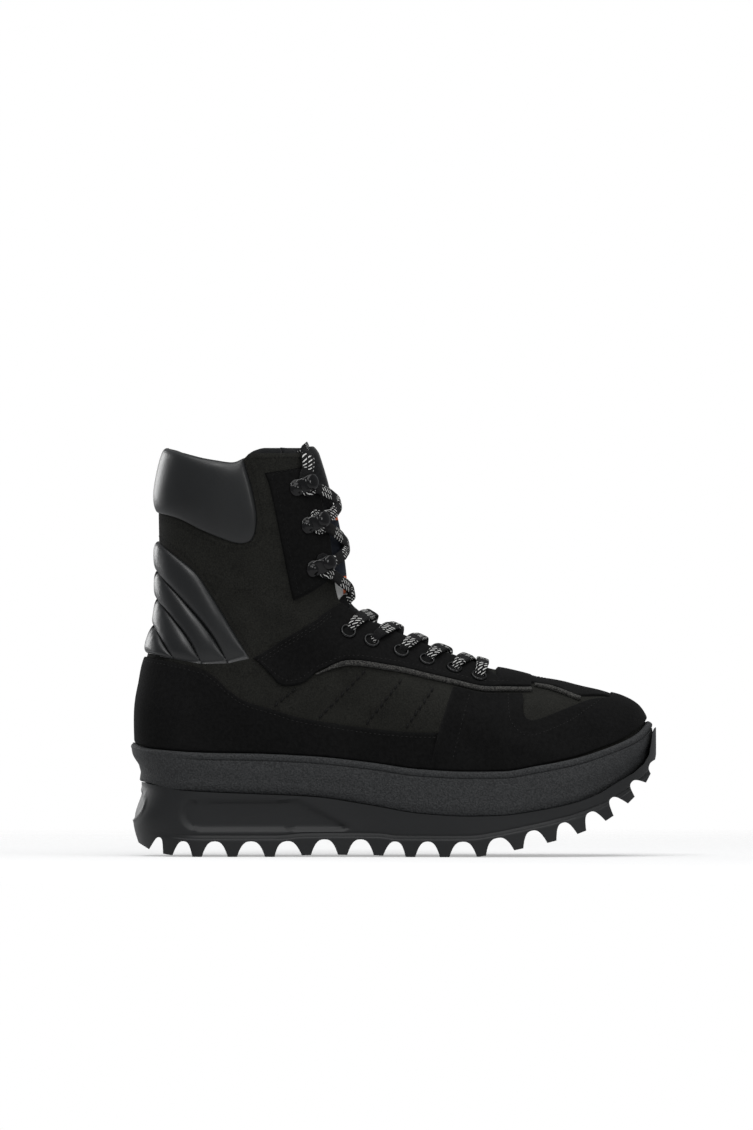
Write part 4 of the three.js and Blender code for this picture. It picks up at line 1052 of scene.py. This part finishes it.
# Outsole: a fine side wall, cut by the tread's line, its valleys and grooves
tread_line = [(-0.3, 34), (0.4, 19), (3, 8), (7, 2.5), (12, 0), (27, 0), (33, 3), (46.5, 3), (51.5, 0), (64, 0),
              (68.5, 3.5), (74, 11), (80.5, 21), (86.2, 33), (91.6, 51), (95.8, 75), (99.2, 103),
              (100.9, 141), (101, 170)]
lug_middles = [1.7, 6.2, 11.9, 18.7, 25.9, 33, 40, 46.9, 53.1, 59.7, 66.8, 74, 80.4, 86.2, 91.6, 95.8,
               99.2, 100.7]
bumper_edge = [(92, 93.5), (94, 101.5), (96.2, 110), (98.2, 121.6), (99.3, 134), (99.7, 150), (99.9, 162),
               (100.3, 168), (100.7, 170)]
sole_flare = columns_of([
    # height, sides, heel, toe
    (-10, 3.2, -2, 1), (8, 3.2, -0.2, 1.5), (19.5, 3.2, 1.8, 2.5), (50, 3.2, 4.4, 4), (80, 4.4, 0.7, 5.4),
    (90, 4.3, -0.6, 6.2), (140, 4.4, 1, 7.4), (200, 4.4, 1, 7.2),
])
lug_tip, lug_depth, lug_foot, settle, bumper_cut = 8, 9, 0.6, 0.25, 2
groove_share, groove_width, groove_depth = 0.16, 5, 6
window = [(9.2, -13.6), (9.5, -11.4), (10.5, -9.8), (12.4, -9.2), (31.5, -9.4), (41.3, -17.7), (40, -18.4),
          (12.4, -18.5), (10.5, -17.7), (9.5, -16)]
window_points = [Vector((place_x(a), place_z(b))) for a, b in window]

tread_spots = smooth_run([(place_x(a), b / 100 * sole_height) for a, b in tread_line], 16)
tread_sums = [0.0]
for a, b in zip(tread_spots, tread_spots[1:]):
    tread_sums.append(tread_sums[-1] + (b - a).length)
tread_length = tread_sums[-1]


def tread_at(distance):
    i = min(max(bisect.bisect_right(tread_sums, distance) - 1, 0), len(tread_spots) - 2)
    run = tread_spots[i + 1] - tread_spots[i]
    point = tread_spots[i] + run * clamp((distance - tread_sums[i]) / run.length)
    return Vector((point.x, max(0, point.y - settle))), run.normalized()


single = [p for p in tread_spots if p.x < place_x(99.8)]
tread_height = Smooth([p.x for p in single if p.x > 1], [max(0, p.y) for p in single if p.x > 1])


def inside_window(x, z):
    """How deep a side view point lies inside the window's outline, in millimetres."""
    near, crossings = 1e9, 0
    for a, b in zip(window_points, window_points[1:] + window_points[:1]):
        run = b - a
        f = clamp(((x - a.x) * run.x + (z - a.y) * run.y) / run.length_squared)
        near = min(near, math.hypot(x - a.x - run.x * f, z - a.y - run.y * f))
        if (a.y > z) != (b.y > z) and x < a.x + (z - a.y) * run.x / run.y:
            crossings += 1
    return near if crossings % 2 else -near


sole_wide = 520


def sole_side(i, j):
    u = wrap(2 * i / sole_wide)
    feather = last_point(u, 0)
    ground = tread_height(clamp(feather.x, 2, place_x(98.2)))
    rows = [-14, -4, 0, 3, 6, 8.6, 9.6, 10.1, 10.6, 11.2]
    above = max(0, j - len(rows)) / (sole_tall - len(rows))
    z = ground + rows[j] if j < len(rows) else mix(ground + 12, 92, above ** 1.5)
    s = math.sin(math.pi * abs(u) / 2) ** 2
    back, front = 1 - ease(s, 0.015, 0.12), ease(s, 0.8, 0.96)
    side_off, heel_off, toe_off = (column(z / sole_height * 100) for column in sole_flare)
    off = side_off + back * (heel_off - side_off) + front * (toe_off - side_off)
    off += 1.1 * (1 - ease(z - ground, 9.8, 10.8)) * (1 - back)
    deep = inside_window(feather.x, z)
    off -= 2.2 * ease(deep, -1.3, 1.7)
    off -= 0.5 * math.exp(-((z - ground - 12.3) / 0.5) ** 2) * (1 - back)
    oval = math.hypot(feather.y / 17, (z - 29.5) / 8.5)
    if feather.x < 60:
        off -= 1.0 * (1 - ease(oval, 0.86, 1.0))
        off += 0.5 * math.exp(-((oval - 1.06) / 0.05) ** 2)
    return off_feather(u, off, z)


def bar(bm, outline, start=-90, wide=180):
    """Adds a bar across the shoe with a side view outline, all the way unless told where it starts."""
    face = bm.faces.new([bm.verts.new((x, start, z)) for x, z in outline])
    made = bmesh.ops.extrude_face_region(bm, geom=[face], use_keep_orig=True)
    moved = [v for v in made["geom"] if isinstance(v, bmesh.types.BMVert)]
    bmesh.ops.translate(bm, verts=moved, vec=(0, wide, 0))


def helper(bm, name):
    bmesh.ops.recalc_face_normals(bm, faces=bm.faces)
    mesh = bpy.data.meshes.new(name)
    bm.to_mesh(mesh)
    bm.free()
    made = bpy.data.objects.new(name, mesh)
    bpy.context.collection.objects.link(made)
    return made


sole_tall = 44
body = helper(closed(grid_of(sole_wide, sole_tall, sole_side, round_way=True), 1e-4), "sole_body")

lugs = []
for at in lug_middles:
    k = next(n for n, p in enumerate(tread_spots) if p.x >= place_x(at))
    a, b = tread_spots[k - 1], tread_spots[k]
    lugs.append(mix(tread_sums[k - 1], tread_sums[k], (place_x(at) - a.x) / (b.x - a.x)))

kept = bmesh.new()
tops = [Vector((place_x(a), sole_top(place_x(a)))) for a in [-3, *range(0, 92, 2)]]
edges = [d for lug in lugs for d in (lug - lug_tip / 2 - lug_foot, lug + lug_tip / 2 + lug_foot)]
ground = [tread_at(d)[0] for d in [0, *edges, tread_length]]
bumper = [Vector((place_x(a), b / 100 * sole_height)) for a, b in bumper_edge]
bar(kept, tops + bumper + ground[::-1])
kept = helper(kept, "sole_kept")

rand_fill_wide = 200
rand_fill_levels = [-1.2, 0, 0.5, 1, 1.5, 2, 2.5, 3, 3.5, 4, 4.5, 5, 5.5, 6]


def rand_fill(i, j):
    u = wrap(2 * i / rand_fill_wide)
    if j == 0:
        x = last_point(u, 0).x
        return off_feather(u, 2.8, sole_top(x))
    return over(u, rand_fill_levels[j], gap + rand_wall + 0.15)


filled = grid_of(rand_fill_wide, len(rand_fill_levels) - 1, rand_fill, round_way=True)
filled = helper(closed(filled, 1e-4), "rand_filled")

cuts = bmesh.new()
for before, after in zip(lugs, lugs[1:]):
    point, ahead = tread_at((before + after) / 2)
    inward = Vector((-ahead.y, ahead.x))
    half = (after - before - lug_tip) / 2
    deep = mix(lug_depth, bumper_cut, ease((before + after) / 2 / tread_length, 0.86, 0.95))
    shape = [(-half - 2.6, -8), (half + 2.6, -8)]
    for k in range(17):
        turn = math.pi * k / 16
        flare = half + 1.3 * (1 - math.sin(turn)) ** 2
        shape.append((flare * math.copysign(abs(math.cos(turn)) ** 0.8, math.cos(turn)), deep * math.sin(turn)))
    bar(cuts, [point + ahead * x + inward * y for x, y in shape])
cuts = helper(cuts, "valleys")

groove_cuts = bmesh.new()
run = [p for p in ground if place_x(5) < p.x < place_x(92)]
for centre in (-groove_share * ball_width, groove_share * ball_width):
    outline = [(p.x, p.y + groove_depth) for p in run] + [(p.x, p.y - 10) for p in reversed(run)]
    bar(groove_cuts, outline, centre - groove_width / 2, groove_width)
groove_cuts = helper(groove_cuts, "grooves")

cutting = ((kept, "INTERSECT"), (filled, "DIFFERENCE"), (cuts, "DIFFERENCE"), (groove_cuts, "DIFFERENCE"))
for tool, kind in cutting:
    cut = body.modifiers.new(tool.name, "BOOLEAN")
    cut.operation, cut.object, cut.solver = kind, tool, "EXACT"
shaped = bpy.data.meshes.new_from_object(body.evaluated_get(bpy.context.evaluated_depsgraph_get()))
for spent in (body, kept, filled, cuts, groove_cuts):
    bpy.data.objects.remove(spent)
sole = bmesh.new()
sole.from_mesh(shaped)
bmesh.ops.remove_doubles(sole, verts=sole.verts, dist=1e-3)
bmesh.ops.dissolve_degenerate(sole, edges=sole.edges, dist=1e-3)
outsole = piece("outsole_rubber", sole, outsole_rubber, ["outsole"], sharp=32)

# Fastening
def station(spot, side, off):
    """A frame that stands on the shoe at a side view place, with its Z outwards."""
    u, level = under(*spot)
    point, normal = skin(signs[side] * u, level)
    turn = normal.to_track_quat("Z", "Y").to_matrix().to_4x4()
    return Matrix.Translation(point + normal * off) @ turn


def lathe(bm, profile, frame_at, steps=32):
    verts = [bm.verts.new(frame_at @ Vector((r, 0, h))) for r, h in profile]
    lines = [bm.edges.new(pair) for pair in zip(verts, verts[1:])]
    axis = frame_at.to_3x3() @ Vector((0, 0, 1))
    bmesh.ops.spin(bm, geom=verts + lines, cent=frame_at.translation, axis=axis, angle=2 * math.pi,
                   steps=steps, use_merge=True)


stay_top = suede + 0.35
eyelet_profile = [(3.3, -2.6), (3.3, 0.5), (3.45, 0.95), (3.9, 1.25), (4.4, 1.1), (4.75, 0.55), (4.8, 0),
                  (3.7, -0.1), (3.7, -2.6), (3.3, -2.6)]
hook_foot_profile = [(0, 0), (4.8, 0), (4.9, 0.5), (4.4, 1), (3.6, 1.1), (3.1, 1.5), (2.2, 2.2), (1.1, 2.6),
                     (0, 2.7)]
hook_head_profile = [(0, -0.7), (4.2, -0.7), (4.7, -0.2), (4.6, 0.4), (3.9, 1), (2.4, 1.5), (0, 1.75)]
hook_reach = 4.4
for side in signs:
    for number, spot in enumerate(eyelet_spots, 1):
        ring = bmesh.new()
        lathe(ring, eyelet_profile, station(spot, side, stay_top))
        piece(f"eyelet_ring_{side}_{number}", merged(ring), black_nickel, [f"eyelet_{side}_{number}"])
    for number, (base, button) in enumerate(hook_spots, 1):
        foot, head = station(base, side, stay_top), station(button, side, stay_top + hook_reach)
        hook = bmesh.new()
        lathe(hook, hook_foot_profile, foot)
        lathe(hook, hook_head_profile, head)
        out = (foot.to_3x3() @ Vector((0, 0, 1)) + head.to_3x3() @ Vector((0, 0, 1))).normalized()
        start, end = foot.translation + out * 0.9, head.translation - out * 0.5
        shares = [k / 12 for k in range(13)]
        path = [start.lerp(end, f) + out * (1.5 * math.sin(math.pi * f) ** 2) for f in shares]
        across = (end - start).cross(out).normalized()
        arm = tube(path, [across] * 13, lambda f: (9.2 - 0.6 * math.sin(math.pi * f), 1.3))
        joined = bpy.data.meshes.new("arm")
        arm.to_mesh(joined)
        arm.free()
        merged(hook).from_mesh(joined)
        piece(f"hook_metal_{side}_{number}", hook, black_nickel, [f"hook_{side}_{number}"], sharp=50)

# Lace: one length from the top hook of one side down to the lowest eyelets and up the other side
lace_width, lace_thick = 7.5, 2.2
rows = []
for spot, ridge in zip(eyelet_spots, eyelet_ridges):
    u, level = under(*spot)
    rows.append((1 - u, level, ridge, False))
for (base, button), ridge in zip(hook_spots, hook_ridges):
    u, level = under(mix(base[0], button[0], 0.62), mix(base[1], button[1], 0.62))
    rows.append((1 - u, level, ridge, True))


def lace_spot(upper, lower, sign, f, off):
    """A stop of a leg from its own side of a row, f = 0, to the other side of the row below, f = 1."""
    (g, level, ridge, _), (g2, level2, ridge2, _) = rows[upper], rows[lower]
    part = 1 - 2 * f
    own = mix(level, level2, f)
    here = own + (mix(ridge, ridge2, f) - own) * (1 - part * part)
    g_here = sign * mix(g, g2, f) * part
    u = math.copysign(1 - abs(g_here), g_here)
    if off is None:
        ring = ring_at(here)
        y = ring.half(math.sin(math.pi * abs(u) / 2) ** 2, True)
        off = tongue_face(here, y) + lace_thick / 2 + 0.3
    return u, here, off


def leg(upper, lower, sign, lift):
    """The stops of one leg: (u, level, off, share of the lace's width)."""
    low_hook, high_hook = rows[lower][3], rows[upper][3]
    if high_hook:
        stops = [(0.1, 3.5, 0.85), (0.22, 3.7, 0.9), (0.36, 3.4, 0.95)]
    else:
        stops = [(0, -1.5, 0.55), (0.035, 2.2, 0.65), (0.08, 4.3, 0.8), (0.16, 4.2, 0.95), (0.26, 3.6, 1),
                 (0.37, 3, 1)]
    made = [(*lace_spot(upper, lower, sign, f, off), wide) for f, off, wide in stops]
    u, here, off = lace_spot(upper, lower, sign, 0.5, None)
    made.append((u, here, off + lift, 1))
    if low_hook:
        stops = [(0.64, 3.4, 0.95), (0.78, 3.7, 0.9), (0.9, 3.5, 0.85)]
    else:
        stops = [(0.58, None, 1), (0.66, None, 0.95), (0.75, -4, 0.85), (0.9, -4, 0.75), (1, -3.9, 0.6)]
    return made + [(*lace_spot(upper, lower, sign, f, off), wide) for f, off, wide in stops]


def strand(side):
    """Stops from the tucked end at the collar down to the middle of the lowest row."""
    g, level, _, _ = rows[8]
    edge = 1 - throat_u(15.6, 1)
    stops = [(side * (1 - edge * 1.05), 15.0, -5.6, 1), (side * (1 - edge * 1.02), 15.6, -5, 1.2),
             (side * (1 - edge), 15.96, -1.4, 1.35), (side * (1 - edge * 1.02), 15.88, 1.9, 1.4),
             (side * (1 - edge * 1.1), 15.6, 3.4, 1.35), (side * (1 - mix(edge, g, 0.6)), 15.2, 3.6, 1.15)]
    for upper in range(8, 0, -1):
        here = side if (8 - upper) % 2 == 0 else -side
        if rows[upper][3]:
            g, level, _, _ = rows[upper]
            stops += [(here * (1 - g), level + 0.22, 3.3, 0.8), (here * (1 - g), level - 0.22, 3.3, 0.8)]
        stops += leg(upper, upper - 1, here, 2.2 if side > 0 else 0)
    g, level, ridge, _ = rows[0]
    end_side = -here
    for f, off, wide in ((0, -1.5, 0.6), (0.04, 2.4, 0.75), (0.1, 4.5, 0.9), (0.22, 4.3, 1), (0.36, 3.6, 1)):
        part = 1 - 2 * f
        u = end_side * (1 - g * part)
        stops.append((u, level + (ridge - level) * (1 - part * part), off, wide))
    return stops


down, up = strand(-1), strand(1)
lace_stops = down + [(1, rows[0][2], 3.3, 1)] + up[::-1]
lace_points = [over(u, level, off) for u, level, off, wide in lace_stops]
lace_normals = [skin(u, level)[1] for u, level, off, wide in lace_stops]
acrosses = []
for k, (here, normal) in enumerate(zip(lace_points, lace_normals)):
    ahead = (lace_points[min(k + 1, len(lace_points) - 1)] - lace_points[max(k - 1, 0)]).normalized()
    across = ahead.cross(normal)
    if acrosses and (across.length < 0.45 or across.dot(acrosses[-1]) < 0):
        across = acrosses[-1] if across.length < 0.45 else across
    acrosses.append(across.normalized())
finer = 6
lace_path = smooth_run(lace_points, finer)[:-1]
lace_across, lace_wide = [], []
for k in range(len(lace_path)):
    i, f = k // finer, k % finer / finer
    lace_across.append(acrosses[i].lerp(acrosses[i + 1], f).normalized())
    lace_wide.append(mix(lace_stops[i][3], lace_stops[i + 1][3], f))
last_place = len(lace_path) - 1
lace = tube(lace_path, lace_across, lambda f: (lace_width * lace_wide[round(f * last_place)], lace_thick), 14)
piece("lace", lace, flecked_lace, ["lace_bar"] + [f"lace_crossing_{k}" for k in range(1, 9)])

# Stitches: short threads along lines on the layers
stitching = bmesh.new()


def stitch(points, off, pitch=2.7, long=1.7, thick=0.42, slant=0.0):
    line = even(trace(points), 160)
    for sign in signs.values():
        spots = [(skin(sign * p.x if p.x <= 1 else p.x, p.y)) for p in line]
        walked, next_at = 0.0, pitch / 2
        for (a, normal), (b, _) in zip(spots, spots[1:]):
            run = (b - a).length
            while walked + run >= next_at:
                here = a.lerp(b, (next_at - walked) / run) + normal * off
                ahead = (b - a).normalized()
                side = normal.cross(ahead).normalized()
                ahead = (ahead + side * slant).normalized()
                side = normal.cross(ahead).normalized()
                place = Matrix((ahead * long / 2, side * thick / 2, normal * thick / 2)).transposed().to_4x4()
                bmesh.ops.create_icosphere(stitching, subdivisions=1, radius=1,
                                           matrix=Matrix.Translation(here) @ place)
                next_at += pitch
            walked += run


top_off = suede + 0.12
stitch(lowered(counter_top, 1.4), top_off)
stitch([(64.4, 23.4), (63.3, 16.6), (62.7, 12.6), (61.4, 4)], top_off + 0.15)
stitch([(71.9, 23.6), (71.9, 21), (72.2, 16), (73.2, 13.2), (74.8, 11), (76.8, 10.8), (79.8, 12.3), (83.9, 15.2),
        (87, 18.6), (90.2, 21.9)], top_off + 0.15, pitch=2.4, long=1.5)
stitch(lowered(wing_upper[:6], 1.5), top_off + 0.25)
stitch(lowered(wing_upper[:6], 2.7), top_off + 0.25)
stitch([(24.6, 33.6), (27.4, 29.6), (29.4, 28), (32, 28.8), (34.6, 32)], top_off + 0.25)
stitch(lowered(piping_line[:11], -2.2), top_off + 0.25)
stitch([(77.6, 28.6), (81.6, 26.8), (86.2, 24.3), (89.4, 23.9)], 1.55, pitch=2.4, long=1.5)
piece("stitching", stitching, grey_thread)
stitching = bmesh.new()
for line in ([(26.6, 19.9), (31.4, 26)], [(35.2, 16.4), (36.8, 18.6), (44.4, 31.1)], [(44.4, 14.1), (51.8, 29.2)],
             [(52.1, 13), (57.9, 26.6)]):
    stitch(line, 0.4, pitch=4.4, long=4, thick=1.3, slant=0.22)
stitch([(31.4, 54.8), (30.5, 61.2), (28.9, 73.9), (27.1, 87.6), (26.2, 91.6), (28.6, 93.3), (32.2, 93.6)],
       top_off + 0.2)
stitch([(31.4, 54.8), (35.5, 59.6), (37.6, 61.2)], top_off + 0.2)
stitch([(5.4, 78.3), (8.4, 76.6), (12.3, 73.1), (16.3, 70.4), (19.5, 69.2), (22.8, 70.4), (24.5, 73.9),
        (24.3, 81.2), (22.9, 92.1), (21.9, 96.6)], 0.2)
stitch([(5.2, 73), (6.6, 71.2), (9.5, 67.2), (12.6, 62.3), (15.4, 55.4), (18.9, 46.2), (22.9, 35.6)], 0.2)
stitch([(23, 97.5), (27, 97.5), (32, 97.5)], 0.2)
for k in (1, 2, 3):
    stitch(rib_lines[k][2:], 0.8, pitch=2.6, long=1.6)
piece("cloth_stitching", stitching, black_thread)

# The insole keeps its CAD node
insole = bpy.data.objects["insole"]
insole.data.materials.clear()
insole.data.materials.append(knit_lining)

# Floor, light and camera
floor_mesh = bmesh.new()
bmesh.ops.create_circle(floor_mesh, cap_ends=True, segments=96, radius=1.2)
floor_data = bpy.data.meshes.new("floor")
floor_mesh.to_mesh(floor_data)
floor_mesh.free()
floor = bpy.data.objects.new("floor", floor_data)
bpy.context.collection.objects.link(floor)
pale = Finish("pale_floor", 0.9, specular=0.1)
pale.shader.inputs["Base Color"].default_value = (0.9, 0.9, 0.9, 1)
flat_place = pale.where((1, 1, 0))
distance = pale.tree.nodes.new("ShaderNodeVectorMath")
distance.operation = "LENGTH"
pale.join(flat_place, distance.inputs[0])
pale.join(pale.span(distance.outputs["Value"], 0.3, 1.1, 0.6, 0.0), pale.shader.inputs["Alpha"])
floor_data.materials.append(pale.material)

world = bpy.data.worlds.new("studio")
bpy.context.scene.world = world
world.use_nodes = True
seen = world.node_tree.nodes["Background"]
seen.inputs["Color"].default_value = (1, 1, 1, 1)
room = world.node_tree.nodes.new("ShaderNodeBackground")
room.inputs["Color"].default_value = (0.95, 0.97, 1, 1)
room.inputs["Strength"].default_value = 0.3
rays, chosen = (world.node_tree.nodes.new(kind) for kind in ("ShaderNodeLightPath", "ShaderNodeMixShader"))
for out, socket in ((rays.outputs["Is Camera Ray"], chosen.inputs[0]), (room.outputs[0], chosen.inputs[1]),
                    (seen.outputs[0], chosen.inputs[2]),
                    (chosen.outputs[0], world.node_tree.nodes["World Output"].inputs["Surface"])):
    world.node_tree.links.new(out, socket)


def area_light(name, place, aim, size, power):
    data = bpy.data.lights.new(name, "AREA")
    data.shape, data.size, data.energy = "SQUARE", size, power
    lamp = bpy.data.objects.new(name, data)
    lamp.location = place
    lamp.rotation_euler = (Vector(aim) - Vector(place)).to_track_quat("-Z", "Y").to_euler()
    bpy.context.collection.objects.link(lamp)


area_light("above", (0, -0.5, 2.2), (0, 0, 0), 2.4, 40)
area_light("key", (0.2, -2.6, 1.7), (0, 0, 0.12), 0.7, 11)
area_light("left", (-0.7, -1.8, 2.4), (0, 0, 0.15), 0.5, 13)
area_light("front", (1.7, -1.7, 0.8), (0, 0, 0.1), 0.6, 8)
area_light("rim", (-1.3, 1.7, 0.5), (0, 0, 0.15), 0.8, 11)

camera_data = bpy.data.cameras.new("camera")
camera = bpy.data.objects.new("camera", camera_data)
bpy.context.collection.objects.link(camera)
bpy.context.scene.camera = camera
far, elevation = 20.0, math.radians(0.4)
camera_data.sensor_width = 36
camera_data.lens = 36 * far / (1130 * 0.58 / 1000)
aim = Vector((-0.01044, -0.02, 0.169))
back = Vector((0, -math.cos(elevation), math.sin(elevation)))
camera.location = aim + back * far
camera.rotation_euler = (-back).to_track_quat("-Z", "Y").to_euler()
camera_data.clip_start, camera_data.clip_end = 0.05, 60
bpy.context.scene.view_settings.view_transform = "Standard"
